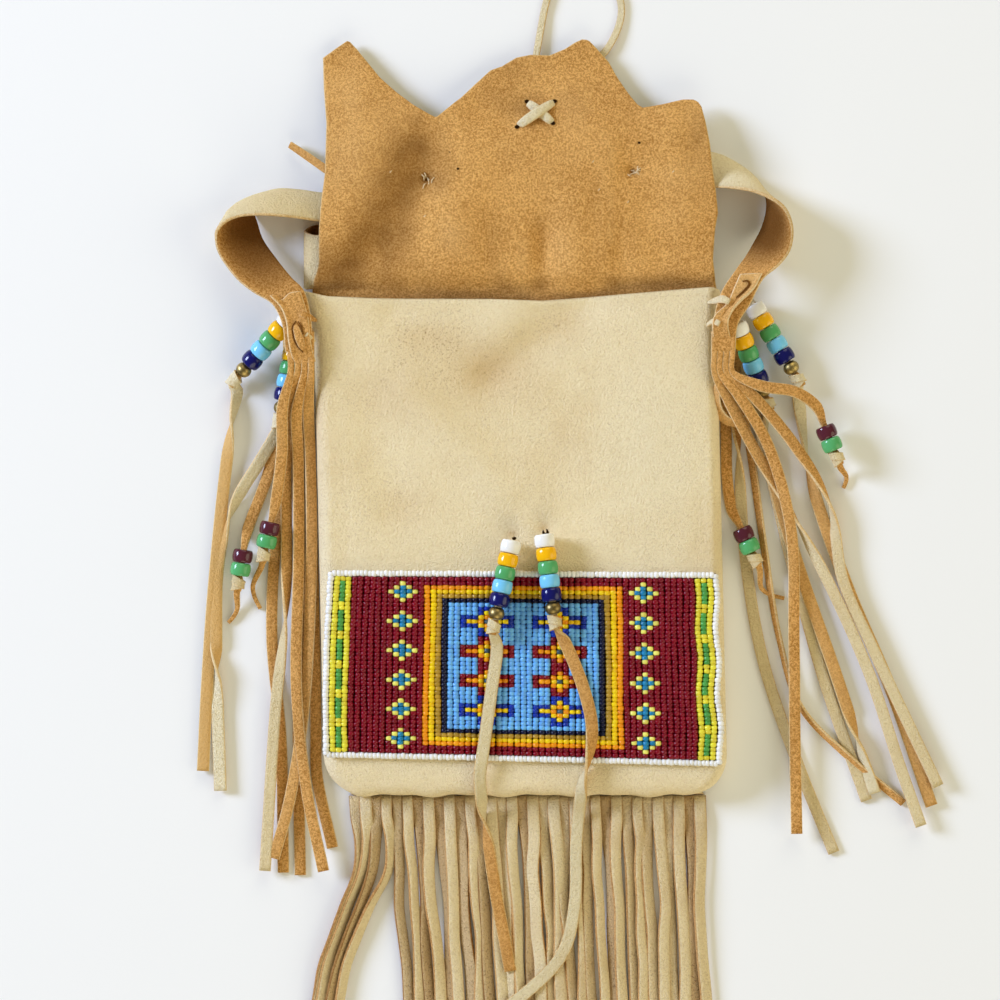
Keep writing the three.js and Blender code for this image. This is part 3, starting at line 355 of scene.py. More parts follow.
def creases(table, x, y):
    """Sum of soft folds or streaks at some places, each with two ends, an amount and a width."""
    total = 0
    for x0, y0, x1, y1, amount, width in table:
        total = total + amount * bell(off_line([(x0, y0), (x1, y1)], x, y), width)
    return total


def flap_side(profile, reach):
    places, sides = zip(*profile)
    return np.interp(reach, places, sides)


def flap_height(x, reach):
    """Height of the middle of the flap's leather over the table."""
    height = MOUTH_HEIGHT + OVER_STRAP * smooth(-1, 8, reach) - FLAP_FALL * smooth(56, 92, reach)
    folds = creases(FLAP_FOLDS, x, reach) - VALLEY_DEPTH * bell(off_line(FLAP_VALLEY, x, reach), VALLEY_WIDTH)
    height = height + folds * (0.35 + 0.65 * smooth(2, 14, reach))
    for dx, dr in FLAP_DIMPLES:
        away = np.hypot(x - dx, reach - dr)
        height = height - 2.0 * bell(away, 2.1) - 1.0 * bell(away, 6.5)
    return np.maximum(height, FLAP_LOWEST)


def speckle(xs, ys, size, seed):
    """Slow random variation over a grid of places."""
    rows = zip(xs / size, ys / size)
    return np.array([[noise.noise((x, y, seed)) for x, y in zip(*row)] for row in rows])


shares, reaches = [], []
for x, reach in FLAP_EDGE:
    left, right = flap_side(FLAP_LEFT, reach), flap_side(FLAP_RIGHT, reach)
    shares.append((x - left) / (right - left))
    reaches.append(reach)
u = np.linspace(0, 1, 161)
flap_reach = np.interp(u, shares, reaches)
back_y = np.linspace(-FOLD + FRINGE_HEADER, FOLD, 34)
back_x = lean(back_y)[:, None] + half_width(back_y)[:, None] * (2 * u - 1)[None, :]
back_rise = (MOUTH_HEIGHT - LAID_HEIGHT) * smooth(86, FOLD, back_y)
back_z = np.repeat(LAID_HEIGHT + back_rise[:, None], len(u), 1)
back = np.stack([back_x, np.repeat(back_y[:, None], len(u), 1), back_z], axis=2)
v = np.concatenate([np.linspace(0, 0.16, 14)[1:], np.linspace(0.16, 1, 58)[1:]])
reach = v[:, None] * flap_reach[None, :]
left, right = flap_side(FLAP_LEFT, reach), flap_side(FLAP_RIGHT, reach)
flap_x = left + (right - left) * u[None, :]
wander = speckle(flap_x, reach, 21, 3.1)
mottle = speckle(flap_x, reach, 7, 6.3)
lift = flap_height(flap_x, reach) + 0.5 * wander * smooth(4, 16, reach)
flap = np.stack([flap_x, FLAP_START + reach, lift], axis=2)
hide_sides = [
    suede("hide_suede", "ecb86e", "aa7636", "e6bc7e"),
    grain("hide_grain", "e4d2a6", "cdb07a", "8a6236"),
    suede("hide_edge", "e6c78e", "c49a5c", "ecd6a6"),
]
hide_work = Work()
# The flap's tone: random mottling, and the streaks of painted shade and light.
flap_tone = 0.5 + 0.14 * wander + 0.07 * mottle + creases(FLAP_STREAKS, flap_x, reach)
# A broad band of painted shade on the valley's left flank, a little to the left of the valley.
shaded = bell(off_line([(x - 6, r) for x, r in FLAP_VALLEY], flap_x, reach), 15)
flap_tone += (0.21 + 0.08 * mottle - flap_tone) * shaded
# Painted shade in the pits of the dimples.
for dx, dr in FLAP_DIMPLES:
    flap_tone -= 0.12 * bell(np.hypot(flap_x - dx, reach - dr), 2.4)
hide_tone = np.concatenate([np.full(back_x.shape, 0.4), flap_tone])
add_sheet(hide_work, np.concatenate([back, flap]), LEATHER, hide_tone)
hide = hide_work.make("hide", hide_sides, None, "suede", ("back_panel", "flap"))
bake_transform(hide)


# The front: a panel of the same skin, grain side out, sewn to the back inside out along its sides and
# bottom and turned, so that its edges stand round and full. It is open at the mouth, which sags.
BAG_DEPTH = 13.0
BOTTOM_DEPTH = 3.5
EDGE_ROUND = 5.0
RIM = 1.75
# The mouth's edge, from left to right
MOUTH = [
    (-83, 100.8), (-74, 98.4), (-60, 97.7), (-46, 97.5), (-12, 97.4), (9, 96.7), (22.6, 97.8), (45.6, 99.6),
    (68.5, 101.6), (79, 102.6),
]
TIE_HOLES = [(-3.4, 3.6), (9.2, 6.0)]
# Soft creases of the front: two ends, depth and width
FRONT_FOLDS = [
    (-60, 88, -14, 40, -0.5, 16),
    (10, 20, 48, 66, 0.35, 14),
    (-4, 6, -34, 16, -0.35, 4),
    (9, 8, 40, 20, -0.35, 4),
    (3, 8, 4, 34, 0.4, 7),
    (-76, 70, -68, -20, -0.5, 5),
    (76, 64, 72, 0, -0.5, 5),
    (-70, -84, 70, -88, -0.35, 6),
    (-50, 93, -13, 70, -2.2, 9),
    (28, 98, -11, 70, -2.2, 9),
    (-3, 97, -7, 85, 1.5, 9),
    (-44, 62, -8, 22, 2.2, 8.5),
    (-62, 58, -49, 15, -2.2, 11),
    (14, 40, 22, 12, -0.6, 9),
    (34, 84, 60, 60, 0.6, 14),
    (-72, 95, 70, 97, -0.5, 2.5),
]


def front_relief(x, y):
    """How far the soft front panel stands above or below its even height."""
    relief = 0.2 - 1.0 * np.cos(np.clip(np.abs(x) / 80, 0, 1) * math.pi) + creases(FRONT_FOLDS, x, y)
    for hx, hy in TIE_HOLES:
        relief = relief - 0.9 * bell(np.hypot(x - hx, y - hy), 3.2)
    return relief


def front_height(x, y):
    """Height of the front panel's outer face, where it lies level."""
    wave = 0
    for size, seed, amount in ((47, 1.7, 0.5), (19, 5.2, 0.3), (9, 8.4, 0.13)):
        wave += noise.noise((x / size, y / size, seed)) * amount
    return BAG_DEPTH + front_relief(x, y) + wave


corner_y = -FOLD + CORNER_RADIUS * (1 - np.cos(np.linspace(0, math.pi / 2, 16)))
front_y = np.concatenate([corner_y, np.linspace(-83, FOLD, 100)])
side_steps = np.linspace(0, 1, 5)[:-1]
arc_steps = np.linspace(0, math.pi / 2, 10)
top_steps = np.linspace(1, -1, 92)[1:-1]
outer = []
for y in front_y:
    rise = min((y + FOLD) / CORNER_RADIUS, 1)
    full = (1 - (1 - rise) ** 4) ** 0.25
    high = BOTTOM_DEPTH + (BAG_DEPTH - BOTTOM_DEPTH) * full - LEATHER / 2
    turn = min(EDGE_ROUND, high - RIM - 0.1)
    half = half_width(y) - LEATHER / 2
    right = [(half, RIM + (high - turn - RIM) * s) for s in side_steps]
    right += [(half - turn + turn * math.cos(t), high - turn + turn * math.sin(t)) for t in arc_steps]
    top = [((half - turn) * s, high) for s in top_steps]
    section = right + top + [(-x, z) for x, z in reversed(right)]
    row = []
    for x, z in section:
        place = lean(y) + x
        level = min(max((z - high + turn) / turn, 0), 1) * min(rise * 1.4, 1)
        sag = np.interp(place, *zip(*MOUTH)) - FOLD
        down = smooth(40, FOLD, y)
        puff = 0.5 * math.sin(y / 9.0 + 2.0 * math.sin(y / 23.0))
        puff *= (1 - level) * smooth(0.55, 1, z / high)
        lift = (front_height(place, y) - BAG_DEPTH) * level * level
        ear = (4.4 if x < 0 else 1.6) * smooth(82, FOLD, y) * smooth(half - 20, half, abs(x))
        pucker = 0.45 * math.sin(place / 4.6) + 0.3 * math.sin(place / 2.3 + 1)
        pucker *= (1 - min(rise * 1.6, 1)) ** 2
        row.append((place + math.copysign(puff + ear, x), y + sag * down * level + pucker, z + lift))
    outer.append(row)
outer = np.array(outer)[:, ::-1]
front_sides = [
    grain("front_grain", "fbe9be", "d8b478", "9a6a34", 0.34),
    suede("front_suede", "e0ad66", "b47e40", "deb676"),
    grain("front_edge", "e6d4a8", "c9a868", "8f6a3c"),
]
px, py = outer[..., 0], outer[..., 1]
# Darker patches of the front, partly real soiling and partly painted shade on its broad folds: middle, reach
# across and along, and amount
SOIL_AND_SHADE = [
    (-2, 80, 32, 14, 0.13),
    (-39, 84, 16, 8, 0.16),
    (-13, 69, 15, 10, 0.2),
    (21, 88, 15, 11, 0.16),
    (6, 58, 32, 13, 0.12),
    (49, 80, 20, 10, 0.08),
    (-49, 13, 17, 13, 0.22),
    (-55, 60, 22, 22, 0.27),
    (36, 12, 30, 14, 0.1),
]
# Painted shade along the front's left edge.
soil_and_shade = 0.16 * bell(px + 81, 4)
for sx, sy, across, along, amount in SOIL_AND_SHADE:
    soil_and_shade += amount * bell(px - sx, across) * bell(py - sy, along)
# Darker round the tie holes.
for hx, hy in TIE_HOLES:
    soil_and_shade += 0.35 * bell(px - hx, 2.4) * bell(py - hy, 2.4)
# Painted light: lighter towards the right, and a little on the left.
painted_light = 0.1 * bell(px + 62, 22) + 0.36 * bell(px - 52, 28) * bell(py - 30, 60)
front_work = Work()
add_sheet(front_work, outer, LEATHER, np.clip(0.5 - soil_and_shade + painted_light, 0, 1))
front = front_work.make("front", front_sides, "bag", "grain_leather", ("front_panel",))


# The seam: waxed thread whipped over both sides of the bag, holding the front's rim to the back.
# Only its small slanting stitches show, low down on the bag's edge.
THREAD = 0.45
SEAM_STITCHES = 44
SEAM_PITCH = 4.2


def tube_faces(rings, size):
    """Faces of a tube of rings of points, closed at both ends."""
    faces = []
    for k in range(rings - 1):
        for n in range(size):
            m = (n + 1) % size
            faces.append((k * size + m, k * size + n, (k + 1) * size + n, (k + 1) * size + m))
    last = (rings - 1) * size
    return faces + [tuple(range(size)), tuple(last + n for n in reversed(range(size)))]


def add_thread(work, line, radius, sides=6):
    """A round thread on a line of points."""
    line = np.asarray(line, float)
    along = unit(np.gradient(line, axis=0))
    first = unit(np.cross(along, (0.31, 0.27, 0.91)))
    second = np.cross(along, first)
    points = []
    for k in range(sides):
        angle = 2 * math.pi * k / sides
        points.append(line + radius * (first * math.cos(angle) + second * math.sin(angle)))
    faces = tube_faces(len(line), sides)
    work.add(np.stack(points, axis=1).reshape(-1, 3), faces, [0] * len(faces))


def thread_finish(name, pale, deep):
    """Twisted waxed thread."""
    material, at, shader = new_finish(name, Roughness=0.6, Specular_IOR_Level=0.3)
    inputs = {"Vector": at, "Scale": 700.0, "Distortion": 2.0}
    ply = at.node("TexWave", {"bands_direction": "DIAGONAL"}, inputs)
    feed(shader, Base_Color=(ply * 0.6 + clouds(at, 300.0) * 0.4).mix(paint(deep), paint(pale)))
    return material


seam_work = Work()
# One stitch: out from the bag's edge, along it, and height
STITCH = [(-1.6, 0, 0.35), (-0.05, 0.3, 0.5), (0.15, 0.8, 1.5), (0.1, 1.2, 2.4), (-0.5, 1.6, 3.1)]
for side in (-1, 1):
    for y in (FOLD - 4 - k * SEAM_PITCH for k in range(SEAM_STITCHES)):
        edge = lean(y) + side * half_width(y)
        stitch = [(edge + side * out, y + up, z) for out, up, z in STITCH]
        add_thread(seam_work, stitch, THREAD / 2)
seam_thread = thread_finish("seam_thread", "e6d8b2", "cbb587")
seam_work.make("seam_stitches", [seam_thread], "bag", "lace")


# The bottom fringe: a strip of skin caught in the bottom seam and cut by hand into thirty-four thongs.
# Grain side up, they hang straight, lie over one another and turn to show their raw brown edges.
FRINGE_STRIPS = 34
FRINGE_PITCH = 4.2
FRINGE_LENGTH = 200.0
HEADER_HALF = 71.0
STRIP_THICKNESS = 1.2
THONG_THICKNESS = 1.4
SWEPT_THONGS = 4
LOWEST = 0.1
SETTLE = 7.0
# Where along a thong it sways, and how much
FRINGE_WAVES = [
    (0, 0), (0.04, 0), (0.09, 0.5), (0.15, 0.9), (0.22, 1), (0.28, 0.8), (0.34, 0.6), (0.41, 0.4),
    (0.48, -0.1), (0.58, -0.5), (0.72, -1), (0.86, -0.2), (1, 0.6),
]
# The leftmost thongs are swept aside: how far, along their length
LEFT_SWEEP = [(0, 0), (0.09, 1.2), (0.15, 0.5), (0.22, -5), (0.33, -13), (0.45, -17), (0.7, -22), (1, -26)]
# Section of a cut thong: places across and through it, in half widths and half thicknesses
STRIP_SECTION = [
    (0.9, 1), (0.45, 1), (0, 1), (-0.45, 1), (-0.9, 1), (-1, 0.5), (-1, -0.5), (-0.9, -1), (-0.3, -1),
    (0.3, -1), (0.9, -1), (1, -0.5), (1, 0.5),
]
STRIP_FINISH = [0, 0, 0, 0, 2, 2, 2, 1, 1, 1, 2, 2, 2]


def route_points(at, step, counts=None):
    """Points along a smooth route through the stations, and the station that each has reached."""
    at = np.asarray(at, float)
    ends = np.concatenate([[2 * at[0] - at[1]], at, [2 * at[-1] - at[-2]]])
    line, place = [], []
    for k in range(len(at) - 1):
        p0, p1, p2, p3 = ends[k : k + 4]
        d0, d1, d2 = (max(np.linalg.norm(b - a), 1e-6) ** 0.5 for a, b in ((p0, p1), (p1, p2), (p2, p3)))
        m1 = ((p1 - p0) / d0 - (p2 - p0) / (d0 + d1) + (p2 - p1) / d1) * d1
        m2 = ((p2 - p1) / d1 - (p3 - p1) / (d1 + d2) + (p3 - p2) / d2) * d1
        count = counts[k] if counts else max(2, math.ceil(np.linalg.norm(p2 - p1) / step))
        for t in np.arange(count + (k == len(at) - 2)) / count:
            c2 = -3 * p1 + 3 * p2 - 2 * m1 - m2
            c3 = 2 * p1 - 2 * p2 + m1 + m2
            line.append(p1 + m1 * t + c2 * t * t + c3 * t**3)
            place.append(k + t)
    return np.array(line), np.array(place)


def add_strip(work, at, width, thick, rolls=None, across=None, step=2.0, cup=0.12, tone=0.5):
    """A strip of leather along a route. Its upper side starts upwards, and rolls turn it over."""
    line, place = route_points(at, step)
    stations = np.arange(len(at))
    widths, thicks = (
        np.interp(place, stations, np.broadcast_to(np.asarray(size, float), (len(at),)))
        for size in (width, thick)
    )
    turned = np.zeros(len(line))
    if rolls is not None:
        spots, angles = zip(*rolls)
        turned = np.radians(np.interp(np.linspace(0, 1, len(line)), spots, angles))
    along = unit(np.gradient(line, axis=0))
    if across is not None:
        sides = np.stack([np.interp(place, stations, part) for part in np.transpose(across)], axis=1)
    side = np.cross((0, 0, 1), along[0]) * -1
    if np.linalg.norm(side) < 0.2:
        side = np.array([1.0, 0, 0])
    points = []
    for k, centre in enumerate(line):
        if across is not None:
            side = sides[k]
        elif abs(along[k][2]) < 0.8:
            level = -np.cross((0, 0, 1), along[k])
            pull = 1 - math.exp(-np.linalg.norm(line[k] - line[max(k - 1, 0)]) / SETTLE)
            side = side + (unit(level) - side) * pull
        side = unit(side - along[k] * (side @ along[k]))
        face = np.cross(side, along[k])
        cos, sin = math.cos(turned[k]), math.sin(turned[k])
        wide, deep = side * cos + face * sin, face * cos - side * sin
        half, slab = widths[k] / 2, thicks[k] / 2
        low = abs(wide[2]) * half + abs(deep[2]) * slab * (1 + max(-cup, 0) * 0.6) + LOWEST
        line[k] = (centre[0], centre[1], max(centre[2], low))
        for a, b in STRIP_SECTION:
            points.append(line[k] + wide * a * half + deep * (b * slab + cup * slab * (a * a - 0.4)))
    faces = tube_faces(len(line), len(STRIP_SECTION))
    work.add(points, faces, STRIP_FINISH * (len(line) - 1) + [2, 2], tone)
    return line


fringe_sides = [
    grain("strip_grain", "f0dcae", "bc955e", "7c5630"),
    suede("strip_suede", "d6a662", "a87a40", "d8b074"),
    suede("strip_edge", "d4a468", "9c6e3a", "e0be86"),
]
draw = random.Random(11)
fringe_work = Work()
fringe_x = lean(-FOLD) + 0.5
header = []
for j in range(4):
    half, y = HEADER_HALF * (1 - 0.02 * j), -FOLD - 0.4 + FRINGE_HEADER * j / 3
    header.append([(fringe_x + s * half, y, LAID_HEIGHT) for s in np.linspace(-1, 1, 40)])
add_sheet(fringe_work, np.array(header), STRIP_THICKNESS, 0.35)
for k in range(FRINGE_STRIPS):
    root = fringe_x + (k - (FRINGE_STRIPS - 1) / 2) * FRINGE_PITCH
    lift = (k % 2) * 1.5
    drift = 13 - 0.22 * k
    length = FRINGE_LENGTH * (1 + 0.02 * math.sin(k * 5.1))
    stations = []
    for share, wave in FRINGE_WAVES:
        sway = 1.1 * wave * math.sin(k * 2.4 + 5 * share) + 0.6 * wave * draw.uniform(-1, 1)
        sway += 0.35 * math.sin(19 * share + k * 1.9) * (share > 0.05)
        up = 0.5 * abs(math.sin(k * 1.7 + share * 9)) * (share > 0.05)
        height = 0.3 + STRIP_THICKNESS / 2 + (lift if share >= 0.03 else 0) + up
        if k < SWEPT_THONGS:
            swing = np.interp(share, *zip(*LEFT_SWEEP)) - 2.6 * k * share
        else:
            swing = drift * share
        stations.append((root + swing + sway, -FOLD - 1 - share * length, height))
    if k < SWEPT_THONGS:
        tilt = draw.uniform(38, 62)
    else:
        tilt = draw.choice([1, 1, 0.7, -0.7]) * draw.uniform(16, 42)
    rolls = [(0, 0), (0.04, 4), (0.1, tilt * 0.6), (0.2, tilt)]
    for share, least, most in ((0.34, 0.5, 1.3), (0.5, 0.2, 1), (0.75, 0.3, 0.8)):
        rolls.append((share, tilt * draw.uniform(least, most)))
    rolls.append((1, draw.uniform(-25, 25)))
    breadth = draw.uniform(4.3, 5.3)
    # Each thong's tone varies at random. The lower thongs, which lie under the others, are set darker as
    # painted shade.
    stain_and_shade = draw.uniform(0.4, 0.76) if k % 2 else draw.uniform(0.16, 0.48)
    add_strip(fringe_work, stations, breadth, THONG_THICKNESS, rolls, step=2.4, cup=-0.25, tone=stain_and_shade)
fringe = fringe_work.make("bottom_thongs", fringe_sides, "bag", "grain_leather", ("bottom_fringe",))


# The strap: one long band of the skin, folded to and fro under the open flap and looped out at both
# sides. Each end is narrowed, doubled with a laced-on tab and slit into four strips.
STRAP_WIDTH = 17.0
NECK_HEIGHT = 18.05
UPPER_LEVEL = 4.1
STRIP_WIDTH = 4.6
ROLLED_WIDTH, ROLLED_THICKNESS = 2.6, 1.4
REST_Z, FIRST_PASS, LAST_PASS = 0.9, 4.3, 6.2
BAND_STEP = 2.0
BEAD_STEP = 5.4
TO_BEADS, BEAD_SLACK, TO_KNOT, TO_TAIL = 7, 1.4, 2.7, 7
LOW_STRING = 5.9
TAIL_LEVEL = 2.4
# Stations of the band from end to end: a point of its high edge, one of its low edge, and its tone. The tone
# is set low as painted shade on the flesh inside both loops, and high as painted light on top of the right
# loop.
# In the left loop the band is turned over, and its middle stands out beyond both edges there.
LEFT_LOOP = [
    ((-93.4, 76.5, NECK_HEIGHT), (-83.0, 76.5, NECK_HEIGHT), 0.5),
    ((-94.5, 87.0, NECK_HEIGHT), (-83.5, 88.0, NECK_HEIGHT), 0.5),
    ((-98.6, 95.5, 18.0), (-86.3, 100.2, 16.8), 0.45),
    ((-106.2, 100.2, 17.6), (-91.8, 106.2, 13.0), 0.26),
    ((-113.0, 105.8, 16.4), (-97.8, 113.6, 7.6), 0.13),
    ((-120.4, 116.2, 14.0), (-103.8, 122.2, 3.6), 0.06),
    ((-121.6, 121.0, 13.6), (-106.0, 128.6, 1.7), 0.03),
    ((-121.2, 124.8, 14.0), (-107.4, 133.4, 1.0), 0.1),
    ((-118.6, 127.8, 14.8), (-106.8, 137.0, 0.9), 0.4),
    ((-113.0, 130.4, 15.6), (-103.6, 140.4, 0.9), 0.5),
    ((-104.0, 131.2, 16.8), (-97.0, 142.2, 0.9), 0.5),
    ((-93.0, 130.6, 15.0), (-88.5, 141.8, 0.9), 0.5),
    ((-81.0, 129.2, 10.2), (-78.4, 140.6, 1.6), 0.5),
    ((-57.0, 125.6, FIRST_PASS), (-57.0, 142.6, FIRST_PASS), 0.5),
]
LEFT_SWELL = {7: (-1.0, 0.8, 0), 8: (-2.2, 2.4, 0), 9: (-1.8, 1.8, 0), 10: (-0.6, 0.6, 0.4)}
# Passes under the flap: place from the fold, height, width and tone, which is set low inside the left bend as
# painted shade
PASSES = [
    (0, 33, FIRST_PASS, STRAP_WIDTH, 0.45),
    (62.75, 32, FIRST_PASS, STRAP_WIDTH, 0.45),
    (65.75, 31.8, 2.6, STRAP_WIDTH, 0.45),
    (62.75, 31.4, REST_Z, STRAP_WIDTH, 0.45),
    (0, 27, REST_Z, STRAP_WIDTH, 0.45),
    (-66, 19, REST_Z, 20, 0.3),
    (-77.75, 15.6, REST_Z, 23.4, 0),
    (-82.75, 15.2, REST_Z, 24, 0),
    (-86.35, 13.4, 3.55, 23, 0.2),
    (-82.75, 12.4, LAST_PASS, 21, 0.6),
    (-72, 15, LAST_PASS, 19, 0.5),
    (-40, 25, LAST_PASS, STRAP_WIDTH, 0.45),
    (0, 31, LAST_PASS, STRAP_WIDTH, 0.45),
    (40, 41, LAST_PASS, STRAP_WIDTH, 0.45),
]
RIGHT_LOOP = [
    ((61.6, 140.8, LAST_PASS), (62.4, 157.6, LAST_PASS), 0.5),
    ((77.0, 142.6, 9.8), (78.6, 156.6, 2.4), 0.9),
    ((84.5, 142.0, 14.4), (86.0, 153.2, 1.4), 1.0),
    ((92.5, 140.6, 16.2), (92.6, 148.6, 1.0), 0.95),
    ((99.4, 137.8, 16.6), (97.0, 143.4, 0.95), 0.5),
    ((104.2, 134.6, 16.6), (99.4, 138.4, 0.9), 0.1),
    ((106.8, 130.6, 16.6), (99.2, 132.8, 0.9), 0.0),
    ((108.2, 124.6, 16.6), (97.4, 126.8, 1.4), 0.0),
    ((107.0, 117.0, 17.0), (94.2, 120.8, 3.8), 0.05),
    ((102.6, 111.0, 17.4), (90.5, 114.8, 7.6), 0.24),
    ((96.4, 105.6, 17.8), (86.4, 109.5, 14.2), 0.4),
    ((90.8, 95.0, 18.2), (79.8, 99.4, 17.2), 0.5),
    ((86.2, 87.4, NECK_HEIGHT), (77.0, 88.4, NECK_HEIGHT), 0.5),
    ((85.1, 76.5, NECK_HEIGHT), (76.1, 76.5, NECK_HEIGHT), 0.5),
]


def add_band(work, stations, swells, thick):
    """A band of leather between two edges, with a swell of its middle at some stations."""
    high, low = np.array([s[0] for s in stations]), np.array([s[1] for s in stations])
    swell = np.array([swells.get(k, (0, 0, 0)) for k in range(len(stations))], float)
    runs = np.linalg.norm(np.diff(high + low, axis=0), axis=1) / 2
    counts = [max(2, math.ceil(run / BAND_STEP)) for run in runs]
    high, low, swell = (route_points(edge, BAND_STEP, counts)[0] for edge in (high, low, swell))
    place = np.concatenate([k + np.arange(n) / n for k, n in enumerate(counts)] + [[len(counts)]])
    tone = np.interp(place, np.arange(len(stations)), [s[2] for s in stations])[:, None]
    share = np.linspace(0, 1, 13)
    across = share[None, :, None]
    grid = low[:, None] * (1 - across) + high[:, None] * across
    grid += swell[:, None] * 4 * across * (1 - across)
    grid[..., 2] = np.maximum(grid[..., 2], thick / 2 + LOWEST)
    # Across the band the tone eases back towards a half at its high edge, so the painted shade and light of
    # the stations lie mostly towards its low edge.
    add_sheet(work, grid, thick, tone + (0.5 - tone) * 0.7 * share[None, :] ** 4)


def beside(side, dx, dy, z):
    """A place measured from the bag's edge at one side and from its fold."""
    return (lean(FOLD + dy) + side * BAG_WIDTH / 2 + dx, FOLD + dy, z)


def add_knot(work, at, along, size=(4.8, 4.0), band=3.2, tone=0.5):
    """A knot in a lace: two turns of it wrapped round and crossing one another."""
    at, along = np.asarray(at, float), unit(np.asarray(along, float))
    flat = unit(np.cross((0, 0, 1), along))
    face = np.cross(along, flat)
    for shift, slant, grow in ((-0.7, 0.42, 1.0), (0.9, -0.36, 0.9)):
        ring = []
        for angle in np.linspace(0, -2 * math.pi, 15):
            wide, deep = math.cos(angle) * size[0] / 2, math.sin(angle) * size[1] / 2
            ring.append(at + (flat * wide + face * deep) * grow + along * (shift + slant * wide))
        add_strip(work, ring, band * grow, 0.8, across=[along] * len(ring), step=1.2, cup=0.5, tone=tone)
    core = [at + along * place for place in (-3, -1.2, 1.2, 3)]
    widths, thicks = (2.6, 3.8, 3.8, 3.2), (1.4, 2.8, 2.8, 1.4)
    add_strip(work, core, widths, thicks, across=[flat] * 4, step=1.0, tone=tone)


def end_strip(work, stations, widths, beaded, rolls, tone):
    """A cut strip, and the rolled end with its two beads, knot and short tail if it has one."""
    stations, widths = list(stations), list(widths)
    thick = [STRIP_THICKNESS] * len(stations)
    if beaded:
        along = unit(np.array([*beaded["along"], 0.0]))
        aside = np.array([-along[1], along[0], 0.0]) * beaded["curl"]
        start = np.array(stations[-1]) + along * TO_BEADS
        start[2] = beaded["height"]
        run = 2 * BEAD_STEP + BEAD_SLACK
        rolled = (0, run / 2, run, run + 4, run + TO_TAIL)
        stations += [start + along * place for place in rolled]
        stations[-1][2] = TAIL_LEVEL + 2
        widths += [ROLLED_WIDTH] * len(rolled)
        thick += [ROLLED_THICKNESS] * len(rolled)
        for share, bend in ((0.5, 0.7), (0.75, 0.1), (1, -1.2)):
            stations.append(start + along * (run + TO_TAIL + beaded["tail"] * share) + aside * bend)
            stations[-1][2] = TAIL_LEVEL - 1.4 * share
            widths.append(2.2 - 0.6 * share)
            thick.append(STRIP_THICKNESS)
        add_knot(work, start + along * (run + TO_KNOT), along, tone=tone)
        beaded["start"], beaded["line"] = start, along
    add_strip(work, stations, widths, thick, rolls, step=2.2, tone=tone)


strap_sides = [
    grain("strap_grain", "e8d4a4", "ccab6e", "8f6a3c"),
    suede("strap_suede", "eab46c", "a6712f", "e4bb7c"),
    suede("strap_edge", "eed4a4", "cfa76c", "f2dfb6"),
]
strap_work = Work()
passes = [((x, FOLD + y - w / 2, z), (x, FOLD + y + w / 2, z), t) for x, y, z, w, t in PASSES]
add_band(strap_work, LEFT_LOOP + passes + RIGHT_LOOP, LEFT_SWELL, LEATHER)

# Strips of the strap's ends: place beside the edge, and how far each has dropped to the ground
STRAP_STRIPS = {
    -1: [
        [(-2.8, -46, 0.5), (-2.9, -66, 1), (-3.4, -107, 1), (-7.2, -163, 1), (-14.1, -203, 1),
         (-21.1, -227, 1)],
        [(-7.5, -48, 0.5), (-7.7, -66, 1), (-8.4, -107, 1), (-10.4, -159, 1), (-7.3, -199, 1),
         (-1.2, -232, 1)],
        [(-12.4, -48, 0.5), (-12.8, -68, 1), (-13.2, -99, 1), (-14.3, -131, 1), (-18.6, -163, 1),
         (-24.8, -232, 1)],
        [(-12.9, -46, 0.3), (-14, -64, 0.8), (-17, -84, 0.9)],
    ],
    1: [
        [(4, -44, 0.4), (14.6, -64, 0.9), (30, -91, 1), (44.9, -121, 1), (58.6, -154, 1), (69.7, -190, 1),
         (77.6, -214, 1)],
        [(8, -42, 0.3), (19.6, -62, 0.8), (27.9, -95, 1), (28.1, -139, 1), (27.6, -179, 1),
         (27.5, -217, 1)],
        [(13.7, -42, 0.25), (29.8, -61, 0.7), (43.5, -84, 1), (48.4, -115, 1), (60, -143, 1),
         (84.8, -198, 1)],
        [(16.2, -37.6, 0.15), (30, -40, 0.3), (39, -46, 0.6)],
    ],
}
# Which side each strip shows along its length: a half turn, 180, is the flesh side up
STRAP_ROLLS = {
    -1: [
        [(0, 180), (0.16, 196), (0.3, 206), (0.6, 164), (1, 180)],
        [(0, 180), (0.16, 196), (0.4, 202), (0.7, 164), (1, 176)],
        [(0, 180), (0.16, 200), (0.46, 196), (0.58, 300), (0.66, 356), (1, 360)],
        [(0, 180), (0.4, 186), (1, 180)],
    ],
    1: [
        [(0, 180), (0.26, 184), (0.38, 250), (0.5, 352), (1, 364)],
        [(0, 180), (0.3, 168), (0.6, 186), (1, 178)],
        [(0, 180), (0.3, 190), (0.42, 270), (0.5, 352), (1, 362)],
        [(0, 180), (0.5, 190), (1, 180)],
    ],
}
strap_beads = {
    -1: {"along": (-0.22, -0.97), "tail": 17, "height": LOW_STRING + 1.6, "curl": -2.6},
    1: {"along": (0.38, -0.92), "tail": 8, "height": LOW_STRING + 2.4, "curl": 1.5},
}
